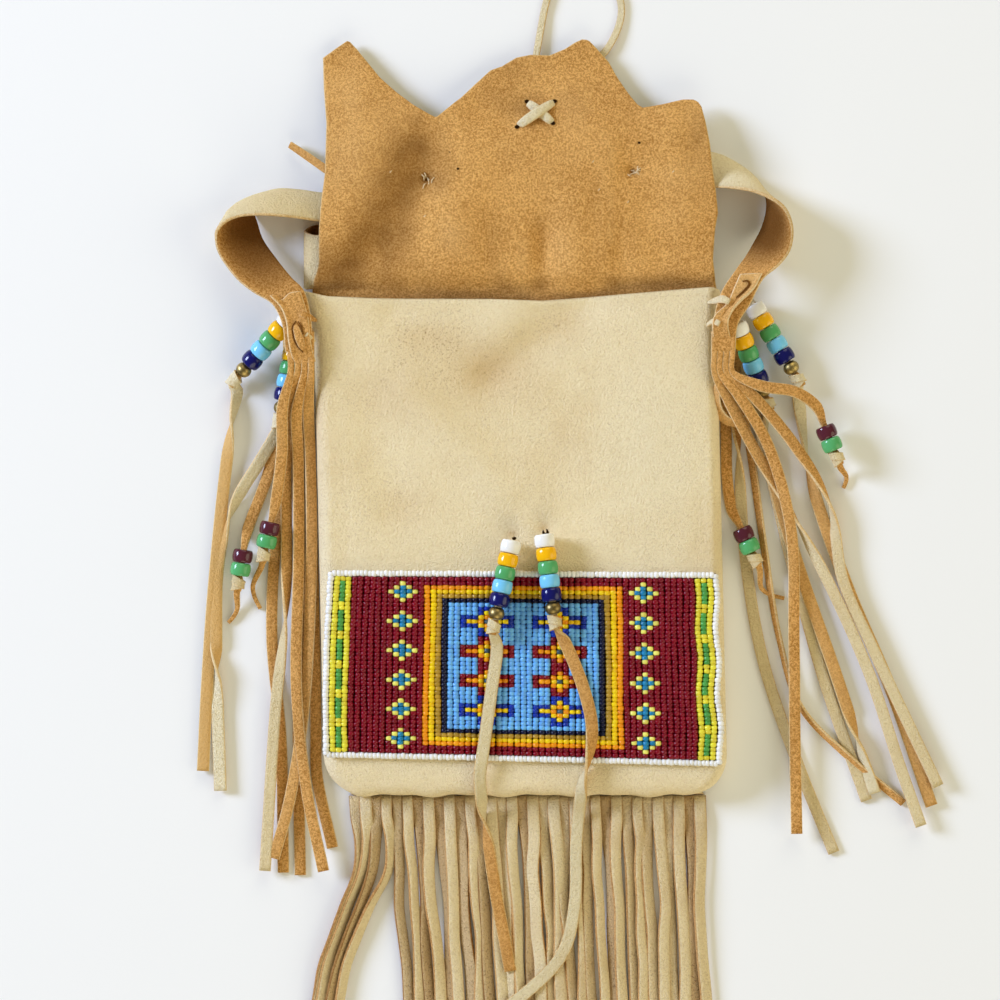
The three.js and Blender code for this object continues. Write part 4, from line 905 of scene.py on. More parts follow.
# Where the necks are slit: their middle, and the width of a strip there
SLITS = {-1: (-87.4, 2.7), 1: (80.6, 2.4)}
for side, (neck, slit) in SLITS.items():
    for k, way in enumerate(STRAP_STRIPS[side]):
        root = neck + side * (k - 1.5) * slit
        stations = [(root, FOLD - drop, NECK_HEIGHT - low) for drop, low in ((16, 0), (25.5, 0), (32, 0.8))]
        for dx, dy, drop in way:
            z = NECK_HEIGHT + (UPPER_LEVEL - NECK_HEIGHT) * drop
            stations.append(beside(side, dx, dy, z + (k % 2) * (STRIP_THICKNESS + 0.3)))
        widths = [slit - 0.1] * 3 + [STRIP_WIDTH] * len(way)
        beaded = strap_beads[side] if k == 3 else None
        tone = (0.66, 0.5, 0.6, 0.58)[k]
        end_strip(strap_work, stations, widths, beaded, STRAP_ROLLS[side][k], tone)

# Tabs: a doubled piece on each neck, from its folded top edge down to the strips
TABS = {
    -1: (
        [(-99.4, 98.6), (-95.4, 94.4), (-93.0, 88.6), (-92.2, 81.4), (-91.0, 75.4), (-89.4, 71.4)],
        [(-87.8, 100.2), (-86.2, 95.4), (-84.6, 89.4), (-83.8, 81.4), (-83.0, 76.6), (-81.8, 72.6)],
    ),
    1: (
        [(87.4, 107.0), (85.0, 101.4), (82.2, 95.4), (77.0, 90.2), (76.6, 83.4), (77.4, 79.0)],
        [(95.8, 107.4), (92.6, 101.4), (87.0, 96.2), (83.8, 92.2), (82.2, 87.4), (84.2, 79.0)],
    ),
}
TAB_ROWS, TAB_COLUMNS, TAB_THICKNESS = 26, 13, 1.3
for side, edges in TABS.items():
    down, over = np.linspace(0, 1, TAB_ROWS)[:, None], np.linspace(0, 1, TAB_COLUMNS)[None, :]
    borders = []
    for edge in edges:
        line = route_points([(x, y, 0) for x, y in edge], 2.0)[0]
        shares = np.linspace(0, 1, len(line))
        borders.append(np.stack([np.interp(down[:, 0], shares, part) for part in line.T], axis=1)[:, None])
    grid = borders[0] + (borders[1] - borders[0]) * over[..., None]
    if side < 0:
        grid[..., 1] -= 2.4 * bell(over - 0.4, 0.16) * bell(down, 0.1)
    held = 1 - smooth(0.7, 0.98, down)
    roll = 1.1 * bell(1 - over if side > 0 else over, 0.16) * held + 0.5 * bell(down, 0.08)
    fold = -0.5 * bell(over - 0.55, 0.1) * bell(down - 0.45, 0.2)
    slope = (-1.6 if side > 0 else -0.9) * (1 - down) ** 2
    grid[..., 2] = NECK_HEIGHT - 0.3 + 2.05 * held + roll + fold + slope
    if np.cross(grid[0, -1] - grid[0, 0], grid[-1, 0] - grid[0, 0])[2] > 0:
        grid = grid[:, ::-1]
    top_tone = 0.62 if side < 0 else 0.82
    add_sheet(strap_work, grid, TAB_THICKNESS, top_tone + (0.6 - top_tone) * down)
# Lacing of the tabs: thin dark slivers that paint the shade inside the slits, a tongue drawn through one,
# short ends to the bag's edge, and the spare of one strip, looped back under the right tab. Route, widths,
# thickness, turn and tone.
TAB_TOP = NECK_HEIGHT + 2.6
SLIT_TOP = NECK_HEIGHT + 2.42
LACING = [
    ([(-89.4, 87.6, SLIT_TOP - 0.5), (-89.0, 85.2, SLIT_TOP + 0.1), (-88.0, 81.8, SLIT_TOP + 0.3),
      (-87.0, 78.8, SLIT_TOP), (-86.4, 76.8, SLIT_TOP - 0.7)], (0.8, 2.7, 3.3, 2.7, 0.8), 1.0, 180, 0.56),
    ([(-89.2, 88.6, SLIT_TOP), (-90.4, 86.2, SLIT_TOP), (-90.2, 82.6, SLIT_TOP), (-88.8, 79.0, SLIT_TOP),
      (-86.4, 76.0, SLIT_TOP - 0.2)], (0.4, 1.0, 0.9, 1.0, 0.5), 0.35, 180, 0.0),
    ([(-88.4, 88.4, SLIT_TOP), (-87.2, 86.4, SLIT_TOP), (-86.2, 83.2, SLIT_TOP)],
     (0.3, 0.6, 0.2), 0.35, 180, 0.05),
    ([(-87.4, 91.8, TAB_TOP - 0.6), (-85.2, 90.9, TAB_TOP - 0.8), (-83.0, 89.6, 15.6), (-81.6, 89.0, 14.0)],
     (2.8, 2.6, 2.2, 1.0), 1.1, 180, 0.4),
    ([(-85.4, 83.4, TAB_TOP - 0.6), (-83.8, 82.0, TAB_TOP - 1.6), (-82.2, 80.9, 15.0)],
     (2.2, 2.0, 1.0), 1.1, 0, 0.6),
    ([(88.2, 104.3, SLIT_TOP - 1.1), (90.2, 104.5, SLIT_TOP - 1.05), (90.9, 103.2, SLIT_TOP - 0.95),
      (88.8, 100.6, SLIT_TOP - 0.85), (85.6, 97.8, SLIT_TOP - 0.75)],
     (0.4, 0.8, 1.0, 0.8, 0.3), 0.4, 180, 0.0),
    ([(83.0, 96.0, TAB_TOP - 0.2), (80.4, 97.2, TAB_TOP - 0.8), (77.6, 96.8, 15.8), (74.8, 96.0, 13.8)],
     (2.4, 3.2, 2.8, 1.2), 1.1, 0, 0.75),
    ([(79.0, 87.4, TAB_TOP), (76.8, 88.4, TAB_TOP - 1.4), (74.6, 87.2, 14.4)], (2.4, 2.4, 1.6), 1.1, 0, 0.75),
    ([(84.2, 69.0, 15.5), (80.8, 65.4, 14.5), (78.2, 60.2, 12.6), (78.8, 54.2, 10.6), (81.9, 49.9, 9.0),
      (86.6, 48.4, 8.0), (91.4, 50.2, 7.2)], (4.2,) * 7, 1.1, 150, 0.75),
]
for stations, widths, thick, turned, tone in LACING:
    rolls = [(0, turned), (1, turned)]
    add_strip(strap_work, stations, widths, thick, rolls, step=0.9, cup=-0.3, tone=tone)
strap = strap_work.make("strap_band", strap_sides, "bag", "suede", ("strap",))


# The under fringes: at each corner a short header behind the strap, cut into four strips that lie on
# the table. One strip of each is drawn through two beads and knotted.
UNDER_STRIPS = {
    -1: [
        [(-3, -75), (-3, -139), (-3.2, -176), (-3.2, -194), (2.4, -223)],
        [(-7.8, -75), (-8.2, -123), (-10.4, -179), (-10.8, -234)],
        [(-13, -71), (-18.4, -107), (-20.1, -139), (-17.4, -179), (-17.6, -233)],
        [(-13.8, -50), (-20.6, -74), (-28.8, -95)],
    ],
    1: [
        [(3, -55), (3, -74), (4.6, -87)],
        [(7.6, -60), (9.4, -103), (15.7, -147), (28.8, -189), (42.6, -225)],
        [(12.2, -60), (17.3, -103), (22.5, -139), (30.3, -166), (49.8, -187), (71, -205)],
        [(16.8, -55), (28, -107), (40.1, -155), (56.2, -204)],
    ],
}
UNDER_ROLLS = {
    -1: [
        [(0, 180), (0.5, 188), (1, 176)],
        [(0, 180), (0.5, 172), (1, 184)],
        [(0, 180), (0.4, 190), (0.7, 178), (1, 180)],
        [(0, 180), (0.5, 174), (1, 180)],
    ],
    1: [
        [(0, 180), (0.5, 186), (1, 180)],
        [(0, 180), (0.12, 184), (0.2, 270), (0.28, 352), (1, 360)],
        [(0, 180), (0.35, 130), (0.6, 112), (0.8, 120), (1, 150)],
        [(0, 0), (0.5, 8), (1, -4)],
    ],
}
under_beads = {
    -1: {"along": (-0.16, -0.98), "tail": 12, "height": LOW_STRING + 0.2, "curl": 1.4},
    1: {"along": (0.42, -0.91), "tail": 15, "height": LOW_STRING + 0.2, "curl": -3.5},
}
for side, label in ((-1, "left"), (1, "right")):
    work = Work()
    inner = beside(side, side * 0.6, -14 if side < 0 else -30, 0)[0]
    head = []
    for y in np.linspace(FOLD - 30, FOLD - 14, 8):
        edge = [(inner + side * 12 * u, y, LAID_HEIGHT) for u in np.linspace(0, 1, 9)]
        head.append(edge if side < 0 else edge[::-1])
    add_sheet(work, np.array(head), STRIP_THICKNESS, 0.4)
    for k, way in enumerate(UNDER_STRIPS[side]):
        root = inner + side * (k + 0.5) * 3
        stations = [(root, FOLD - 26, LAID_HEIGHT), (root, FOLD - 33, LAID_HEIGHT)]
        stations += [beside(side, dx, dy, LAID_HEIGHT + 0.25 * (k % 2)) for dx, dy in way]
        widths = [2.8, 2.8] + [STRIP_WIDTH - (1.2 if side > 0 and k == 2 else 0)] * len(way)
        beaded = under_beads[side] if k == (3 if side < 0 else 0) else None
        tone = (0.52, 0.44, 0.58, 0.5)[k]
        end_strip(work, stations, widths, beaded, UNDER_ROLLS[side][k], tone)
    name, node = label + "_under_strips", label + "_under_fringe"
    strips = work.make(name, strap_sides, "bag", "suede", (node,))


# The pony beads: moulded barrels of opaque plastic with a wide hole, and small round antiqued brass
# beads. They are threaded on the rolled laces and strips and held by a knot below.
PONY_RADIUS = 4.1
PONY_HALF = 2.6
BRASS_RADIUS = 3.2


def gloss_finish(name, tint, dull, rough=0.16, metal=0.0):
    """Moulded plastic with faint swirls and scuffs, or tarnished brass."""
    coat = {"Coat_Weight": 0.0 if metal else 0.1, "Coat_Roughness": 0.08}
    material, at, shader = new_finish(name, Metallic=metal, Specular_IOR_Level=0.32, **coat)
    swirl = clouds(at, 160.0, 4.0, 0.6)
    scuff = clouds(at, 900.0, 3.0, 0.6).rise(0.55, 0.75)
    shaded = (swirl.rise(0.35, 0.7) * (0.75 if metal else 0.3)).mix(paint(tint), paint(dull))
    relief = (swirl + scuff * 0.3).bump(0.12, 0.0002)
    feed(shader, Base_Color=shaded, Roughness=scuff * 0.16 + rough, Normal=relief)
    return material


PONY_FINISH = {
    "white": gloss_finish("pony_white", "eeece6", "dedad0"),
    "yellow": gloss_finish("pony_yellow", "f6ba0a", "e6a406"),
    "green": gloss_finish("pony_green", "56a868", "3f9254"),
    "light_blue": gloss_finish("pony_light_blue", "7ac8f0", "62b6e6"),
    "navy": gloss_finish("pony_navy", "0a0d5c", "070a46"),
    "brass": gloss_finish("pony_brass", "b09a62", "5c5034", 0.4, 1.0),
    "purple": gloss_finish("pony_purple", "55202e", "36111c", 0.1),
}


def add_lathe(work, centre, along, profile, segments=28):
    """A turned bead: the profile is a closed ring of radius and place along the axis."""
    turn = np.array(Vector((0, 0, 1)).rotation_difference(Vector(along)).to_matrix())
    points, faces = [], []
    for radius, place in profile:
        for k in range(segments):
            angle = 2 * math.pi * k / segments
            spot = np.array([radius * math.cos(angle), radius * math.sin(angle), place])
            points.append(turn @ spot + centre)
    rings = len(profile)
    for j in range(rings):
        n = (j + 1) % rings
        for k in range(segments):
            m = (k + 1) % segments
            faces.append((j * segments + k, j * segments + m, n * segments + m, n * segments + k))
    work.add(points, faces, [0] * len(faces))


def pony_bead(name, colour, centre, along):
    """One bead on its string: a round one of brass, or a barrel with flat ends round its hole."""
    if colour == "brass":
        turns = np.linspace(-0.9, 0.9, 13)
        arc = [(math.cos(t) * BRASS_RADIUS, math.sin(t) * BRASS_RADIUS * 0.92) for t in turns]
        profile = [(1.5, -2.3), *arc, (1.5, 2.3), (1.4, 0)]
    else:
        hole, flat, turns = 1.75, 2.9, np.linspace(-1.5, 1.5, 15)
        swell = PONY_RADIUS - flat
        arc = [(flat + swell * math.cos(t) ** 0.6, PONY_HALF * math.sin(t)) for t in turns]
        mouth = [(hole + 0.5, PONY_HALF), (hole, PONY_HALF - 0.5)]
        profile = [(radius, -place) for radius, place in reversed(mouth)] + arc + mouth
    work = Work()
    add_lathe(work, np.asarray(centre, float), along, profile)
    return work.make("bead_" + name, [PONY_FINISH[colour]], "bag", "bead_" + colour, (name + "_bead",))


for side, label in ((-1, "left"), (1, "right")):
    for where, beads in (("under", under_beads[side]), ("strap", strap_beads[side])):
        for k, colour in enumerate(("purple", "green")):
            centre = beads["start"] + beads["line"] * ((k + 0.5) * BEAD_STEP + 1)
            pony_bead(f"{label}_{where}_strip_{colour}", colour, centre, beads["line"])


# The side laces: at each side one flat lace goes through the bag's edge, and each half is drawn through
# six beads, knotted, and left long. The pale grain side shows, or the tan flesh side where it has turned.
LACE_WIDTH = 5.0
LACE_THICKNESS = 1.2
STRING_COLOURS = ("white", "yellow", "green", "light_blue", "navy", "brass")
STRING_LENGTH = len(STRING_COLOURS) * BEAD_STEP
HIGH_STRING = 12.95
SIDE_HOLE_HEIGHT = 7.58
KNOT_FROM_BEADS = 3.0
KNOT_END = 4.6
lace_sides = [
    grain("lace_grain", "e9d9ae", "cdad72", "8f6a3c"),
    suede("lace_suede", "dca862", "ae7a3c", "deb676"),
    suede("lace_edge", "e4c68e", "c0985c", "ead2a2"),
]


def cord_route(line):
    """A cord's route and its length, both in metres."""
    length = float(np.linalg.norm(np.diff(line, axis=0), axis=1).sum()) * MM
    return [tuple(p * MM for p in point) for point in line], length


def lace_half(name, before, start, end, tail, rolls, node, tone=0.5):
    """One half of a lace: out of its hole, through six beads and a knot, and the flat tail."""
    along = unit(end - start)
    stations = list(before)
    stations += [tuple(start + along * STRING_LENGTH * s) for s in (0.06, 0.5, 1)]
    stations += [tuple(start + along * (STRING_LENGTH + s)) for s in (1.6, KNOT_END)]
    narrow = len(stations)
    stations += tail
    widths = [ROLLED_WIDTH] * (narrow - 1) + [3.4] + [LACE_WIDTH] * len(tail)
    thick = [ROLLED_THICKNESS] * narrow + [LACE_THICKNESS] * len(tail)
    work = Work()
    line = add_strip(work, stations, widths, thick, rolls, step=1.8, tone=tone)
    add_knot(work, start + along * (STRING_LENGTH + KNOT_FROM_BEADS), along, tone=tone)
    piece = work.make(name + "_lace_half", lace_sides, "bag", "lace", (node,))
    for k, colour in enumerate(STRING_COLOURS):
        centre = start + along * (k + 0.5) * BEAD_STEP
        pony_bead(f"{name}_{colour}", colour, centre, along)
    path, length = cord_route(line)


# Name, side, how far the hole is below the fold, both ends of the beads with their heights, tail, rolls
SIDE_STRINGS = [
    ("left_outer", -1, 3.5, (-8.6, -9.6), HIGH_STRING, (-27.8, -30), LOW_STRING + 0.6,
     [(-31.9, -39), (-34.1, -51), (-38.7, -83), (-43.4, -123), (-46.6, -159), (-48.9, -192)],
     [(0, 0), (0.25, 4), (0.32, 60), (0.42, 176), (0.7, 188), (1, 180)]),
    ("left_inner", -1, 17, (-7.4, -17), LOW_STRING, (-13.8, -46), LOW_STRING,
     [(-16.9, -57), (-22.9, -67), (-34, -85), (-40.6, -107), (-42.4, -139), (-42.1, -200)],
     [(0, 0), (0.22, 10), (0.42, 24), (0.52, 150), (0.58, 180), (0.72, 184), (0.8, 320), (0.85, 360),
      (1, 356)]),
    ("right_inner", 1, 9.4, (7.4, -12.4), HIGH_STRING, (17.6, -38.4), LOW_STRING + 0.6,
     [(19.4, -47), (19.1, -56), (21.7, -75), (30, -107), (45.5, -155), (59.5, -201)],
     [(0, 0), (0.24, 8), (0.34, 120), (0.42, 180), (0.84, 184), (0.92, 300), (1, 352)]),
    ("right_outer", 1, 3.5, (14.6, -4.6), LOW_STRING, (28.8, -29), LOW_STRING,
     [(32.1, -38), (32.9, -48), (36.7, -75), (50.7, -119), (66.8, -159), (82.2, -206)],
     [(0, 0), (0.3, 6), (0.4, 90), (0.48, 180), (1, 176)]),
]
for name, side, drop, begin, z0, finish_at, z1, tail, rolls in SIDE_STRINGS:
    hole_y = FOLD - drop
    hole_x = lean(hole_y) + side * BAG_WIDTH / 2
    start = np.array(beside(side, *begin, z0))
    end = np.array(beside(side, *finish_at, z1))
    before = [(hole_x + side * out, hole_y, SIDE_HOLE_HEIGHT) for out in (-LEATHER, LEATHER)]
    before += [tuple(start - unit(end - start) * STRING_LENGTH * 0.03)]
    tail = [beside(side, dx, dy, TAIL_LEVEL) for dx, dy in tail]
    node, tone = name.split("_")[0] + "_lace", 0.95 if side < 0 else 0.7
    lace_half(name, before, start, end, tail, rolls, node, tone)


# The front tie: a lace drawn through two holes above the beadwork, with six beads and a knot on each
# half. The tails hang over the beadwork and down on to the fringe.
RESTING_STRING = 19.4
ON_PANEL = 16.4
ON_FRINGE = 4.1
HOLE_SIDES = 14
# Slant of the beads, tail from the knot on with its heights, and rolls
FRONT_TAILS = {
    "front_left": (
        -6.4,
        [(1.6, -6, ON_PANEL), (-0.6, -24, ON_PANEL), (-3.6, -46, ON_PANEL), (-5.2, -58, ON_PANEL - 0.6),
         (-4.6, -67, ON_FRINGE + 8), (-4, -73, ON_FRINGE + 2.4), (-2.4, -82, ON_FRINGE),
         (1.2, -106, ON_FRINGE), (4.6, -124, ON_FRINGE), (7, -137, ON_FRINGE)],
        [(0, 0), (0.5, 4), (0.62, 20), (0.74, 160), (0.8, 180), (1, 176)],
    ),
    "front_right": (
        3.8,
        [(3.6, -6, ON_PANEL), (11, -24, ON_PANEL), (14.6, -40, ON_PANEL), (13.2, -54, ON_PANEL),
         (11, -62, ON_PANEL - 1.4), (10.2, -69, ON_FRINGE + 6), (9.6, -76, ON_FRINGE + 1),
         (8.6, -88, ON_FRINGE), (8, -112, ON_FRINGE), (3, -132, ON_FRINGE), (-12, -148, ON_FRINGE),
         (-32, -162, ON_FRINGE), (-48, -176, ON_FRINGE)],
        [(0, 0), (0.16, 30), (0.22, 180), (0.36, 184), (0.42, 260), (0.48, 360), (1, 352)],
    ),
}
# Punched holes are drawn as flat dark discs: painted shade inside them.
hole_shade_tint = paint("2c1c0e")
hole_shade = new_finish("hole_shade", Base_Color=hole_shade_tint, Roughness=1.0, Specular_IOR_Level=0.0)[0]


def add_hole(work, x, y, height, radius):
    """A flat dark disc on the surface that height gives: painted shade for the mouth of a punched hole."""
    angles = np.linspace(0, 2 * math.pi, HOLE_SIDES + 1)[:-1]
    ring = [(x + radius * math.cos(t), y + radius * 0.85 * math.sin(t)) for t in angles]
    points = [height(*p) for p in ring] + [height(x, y)]
    faces = [(k, (k + 1) % HOLE_SIDES, HOLE_SIDES) for k in range(HOLE_SIDES)]
    work.add(points, faces, [0] * HOLE_SIDES)


def on_front(x, y):
    return (x, y, front_height(x, y) + 0.06)


tie_work = Work()
for (name, (slant, tail, rolls)), (hole_x, hole_y) in zip(FRONT_TAILS.items(), TIE_HOLES):
    add_hole(tie_work, hole_x + 0.8, hole_y - 1.4, on_front, 1.5 if slant > 0 else 1.0)
    start = np.array([hole_x, hole_y - 2.2, RESTING_STRING - 1.6])
    end = np.array([hole_x + slant, hole_y - STRING_LENGTH, RESTING_STRING + 0.4])
    before = [(hole_x, hole_y - 4.3, BAG_DEPTH - LEATHER - 1), (hole_x, hole_y - 4.2, BAG_DEPTH + LEATHER)]
    knot_end = start + unit(end - start) * (STRING_LENGTH + KNOT_END)
    tail = [(knot_end[0] + dx, knot_end[1] + dy, z) for dx, dy, z in tail]
    lace_half(name, before, start, end, tail, rolls, "front_lace")
tie_work.make("tie_holes", [hole_shade], "bag", "grain_leather")


# The beadwork: glass seed beads sewn in columns on a brown backing over the lower half of the front.
# Two red side fields with small diamonds flank a framed blue field with flowers; white beads edge it.
SEED_COLUMN = 2.42
SEED_ROW = 1.69
SEED_RADIUS = 1.22
COLUMNS, ROWS = 63, 42
BEADWORK_TOP = FOLD - 114
BEADWORK_Y = BEADWORK_TOP - ROWS * SEED_ROW / 2
BEADWORK_X = lean(BEADWORK_Y)
BACKING = 0.3
EDGING_GAP = 1.3
EDGING_BEADS = 96
HALF_ACROSS, HALF_UP = COLUMNS * SEED_COLUMN / 2, ROWS * SEED_ROW / 2
# Glass, material slot, and the node that the beads of this colour stand for
SEED_COLOURS = {
    "maroon": ("78051a", "seed_maroon", ("beadwork_red_field",)),
    "lemon": ("e8d03a", "seed_yellow", ("beadwork_yellow_ground",)),
    "green": ("4a9446", "seed_yellow", ()),
    "straw": ("eedb66", "seed_yellow", ()),
    "white": ("fbf9f2", "seed_white", ("beadwork_white_edging",)),
    "orange": ("fc900c", "seed_gold", ("beadwork_gold_frame",)),
    "gold": ("fcc010", "seed_gold", ()),
    "olive": ("a8842a", "seed_gold", ()),
    "navy": ("0c0f2e", "seed_blue", ()),
    "blue": ("66a8fa", "seed_blue", ("beadwork_blue_field",)),
    "royal": ("12309a", "seed_blue", ()),
    "teal": ("1e7aa8", "seed_blue", ()),
    "slate": ("3c5560", "seed_blue", ()),
}
STRIPE_COLUMNS, FIELD_COLUMNS, FIELD_ROWS = 3, 15, 2
DIAMOND_COLUMN, DIAMOND_ROW, REPEAT = 11, 3, 7
FRAME_COLOURS = ("orange", "gold", "olive", "navy")
FLOWER_COLUMNS, FLOWER_ROWS = (25, 37), (10, 17, 24, 31)
FLOWER_OUTLINE = {(1, 2), (0, 3), (1, 3), (2, 1), (3, 1), (4, 0), (4, 1)}


def seed_colour(row, column):
    """Colour of the bead at a row from the top and a column from the left."""
    edge = min(column, COLUMNS - 1 - column)
    border = min(row, ROWS - 1 - row)
    if edge < STRIPE_COLUMNS:
        return "green" if edge == 1 and 1 <= row % REPEAT <= 5 else "lemon"
    if edge < FIELD_COLUMNS or border < FIELD_ROWS:
        steps = min(abs(row - centre) for centre in range(DIAMOND_ROW, ROWS, REPEAT))
        steps += abs(edge - DIAMOND_COLUMN)
        if edge < FIELD_COLUMNS and steps <= 2:
            return "straw" if steps == 2 else "teal"
        return "maroon"
    depth = min(edge - FIELD_COLUMNS, border - FIELD_ROWS)
    if depth < len(FRAME_COLOURS):
        return FRAME_COLOURS[depth]
    for middle in FLOWER_COLUMNS:
        across = abs(column - middle)
        for centre in FLOWER_ROWS:
            down = abs(row - centre)
            outer = centre in (FLOWER_ROWS[0], FLOWER_ROWS[-1])
            if across + down == 0:
                return "slate"
            if across + down == 1:
                return "orange" if outer else "gold"
            if across + down == 2 or (across, down) == (3, 0):
                return "gold" if outer else "orange"
            if (across, down) in FLOWER_OUTLINE and (outer or down < 2):
                return "royal" if outer else "maroon"
        if across <= 1 and 14 <= row <= 27:
            return "maroon"
    return "blue"


def on_beadwork(right, up):
    """Place and height of a spot of the beadwork, which has gone a little out of square."""
    bow = -1.0 * math.cos(up / 37 * math.pi / 2) * smooth(40, 80, -right)
    wave = 0.55 * math.sin(up / 4.1 + 0.8) * smooth(58, 76, right)
    x = right * (1 - 0.013 * up / 37) + bow + wave
    y = up * (1 + 0.019 * right / 80) - right * 0.0139
    x, y = BEADWORK_X + x, BEADWORK_Y + y
    return x, y, front_height(x, y) + BACKING


def seed_finish(name, tint):
    """Glass bead: glossy, with its colour a little deeper or paler from bead to bead."""
    material, at, shader = new_finish(name, Specular_IOR_Level=0.32)
    tone = at.node("Attribute", {"attribute_name": "tone"}, {}, "Fac")
    deep = (*(part * 0.72 for part in paint(tint)[:3]), 1.0)
    pale = (*(min(part * 1.4, 0.94) for part in paint(tint)[:3]), 1.0)
    cloudy = clouds(at, 700.0, 2.0, 0.5)
    feed(shader, Base_Color=(tone * 0.7 + cloudy * 0.3).mix(deep, pale), Roughness=cloudy * 0.12 + 0.08)
    return material


SEED_PROFILE = [
    (0.42, -0.7), (0.86, -0.91), (1.17, -0.55), (1.29, 0.0), (1.17, 0.55), (0.86, 0.91), (0.42, 0.7),
]
seed_mesh = Work()
add_lathe(seed_mesh, np.zeros(3), (0, 1, 0), SEED_PROFILE, 10)
seed_points, seed_faces = np.array(seed_mesh.points), seed_mesh.faces
seed_works = {colour: Work() for colour in SEED_COLOURS}
sew = random.Random(5)


def add_seed(colour, right, up, sideways=False):
    """One sewn bead, a little off its place, size and turn as handwork leaves it."""
    x, y, z = on_beadwork(right + sew.uniform(-0.16, 0.16), up + sew.uniform(-0.13, 0.13))
    across, along, height = (seed_points * sew.uniform(0.98, 1.09)).T
    turn = sew.uniform(-0.2, 0.2) + (math.pi / 2 if sideways else 0)
    cos, sin = math.cos(turn), math.sin(turn)
    across, along = across * cos - along * sin, across * sin + along * cos
    height = height + along * sew.uniform(-0.14, 0.14)
    z += SEED_RADIUS + sew.uniform(-0.08, 0.08)
    points = np.stack([x + across, y + along, z + height], axis=1)
    seed_works[colour].add(points, seed_faces, [0] * len(seed_faces), sew.uniform(0.15, 0.85))


for column in range(COLUMNS):
    drift = sew.uniform(-0.25, 0.25)
    for row in range(ROWS):
        right = (column - (COLUMNS - 1) / 2) * SEED_COLUMN + drift * math.sin(row / 6 + column)
        up = ((ROWS - 1) / 2 - row) * SEED_ROW
        add_seed(seed_colour(row, column), right, up)
for side in (-1, 1):
    for row in range(ROWS + 2):
        add_seed("white", side * (HALF_ACROSS + EDGING_GAP), ((ROWS + 1) / 2 - row) * SEED_ROW)
    for right in np.linspace(-HALF_ACROSS, HALF_ACROSS, EDGING_BEADS).tolist():
        add_seed("white", right, side * (HALF_UP + EDGING_GAP), True)
for colour, (tint, slot, nodes) in SEED_COLOURS.items():
    finish = seed_finish("seed_" + colour + "_glass", tint)
    seed_works[colour].make("beads_" + colour, [finish], "bag", slot, nodes)
# The backing is dark brown with its tone set low, so that it shows between the beads as painted shade.
backing_work = Work()
places = np.linspace(-78, 78, 60)
backing_grid = [[on_beadwork(right, up) for right in places] for up in np.linspace(-37.5, 37.5, 34)]
add_sheet(backing_work, np.array(backing_grid) - np.array([0, 0, 0.12]), BACKING, 0.2)
backing_suede = suede("backing_suede", "7a5430", "5a3a20", "86623c")
backing_work.make("beadwork_backing", [backing_suede] * 3, "bag", "suede")


# The flap's lace: a thong that crosses itself on the flesh side, goes down through four holes and comes
# out beyond the flap's edge as a loop, tied at its top.
STITCH_CENTRE = (6.6, FLAP_START + 71.57)
STITCH_HOLES = [(-3.6, 4.2), (6.2, -4.0), (-7.6, -5.4), (7.0, 4.6)]
FLAP_TIP = FLAP_START + 100.8
FLAP_LACE_WIDTH = 2.8
HOLE_LIFT = 0.78


def on_flap(x, y, above=HOLE_LIFT):
    """A place on the flap, so far above the middle of its leather."""
    return (x, y, flap_height(x, y - FLAP_START) + above)


stitch_holes = [(STITCH_CENTRE[0] + dx, STITCH_CENTRE[1] + dy) for dx, dy in STITCH_HOLES]
hole_a, hole_b, hole_c, hole_d = stitch_holes
loop_route = [
    on_flap(*hole_a, -1.4),
    on_flap(hole_a[0] + 1.4, hole_a[1] + 6, -1.6),
    (6.0, FLAP_TIP - 8, 2.3),
    (8.0, FLAP_TIP + 4, 1.4),
    (10.4, FLAP_TIP + 16, 0.8),
    (14.4, FLAP_TIP + 27, 0.8),
    (19.5, FLAP_TIP + 33, 0.9),
    (24.0, FLAP_TIP + 34.6, 1.4),
    (29.0, FLAP_TIP + 32.6, 0.9),
    (36.0, FLAP_TIP + 26, 0.8),
    (40.4, FLAP_TIP + 16, 0.8),
    (40.0, FLAP_TIP + 8, 1.0),
    (34.0, FLAP_TIP - 4, 2.0),
    (24.0, FLAP_TIP - 12, 2.2),
    on_flap(hole_d[0] + 5, hole_d[1] + 4, -1.8),
    on_flap(*hole_d, -1.4),
]
loop_work = Work()
loop_rolls = [(0, 0), (0.3, 20), (0.6, -15), (1, 0)]
loop_line = add_strip(loop_work, loop_route, FLAP_LACE_WIDTH, 1.0, loop_rolls, step=1.6)
add_knot(loop_work, (24.0, FLAP_TIP + 34.6, 1.9), (1, 0, 0), (2.8, 2.4), 2.0)
loop = loop_work.make("flap_loop", lace_sides, "flap", "lace", ("flap_lace",))
path, length = cord_route(loop_line)
stitch_work = Work()
for first, second, high in ((hole_a, hole_b, 1.4), (hole_c, hole_d, 2.9)):
    arm = []
    shoulder = (1.3 + high) / 2
    rises = ((0, -1.0), (0.1, 0.9), (0.25, shoulder), (0.5, high), (0.75, shoulder), (0.9, 0.9), (1, -1.0))
    for share, up in rises:
        x = first[0] + (second[0] - first[0]) * share
        y = first[1] + (second[1] - first[1]) * share
        arm.append(on_flap(x, y, up))
    widths = (2.6, 3.4, 3.9, 4.1, 3.8, 3.2, 2.4)
    add_strip(stitch_work, arm, widths, 1.5, step=0.5, cup=-0.5, tone=0.75)
stitch_work.make("flap_stitch", lace_sides, "flap", "lace")
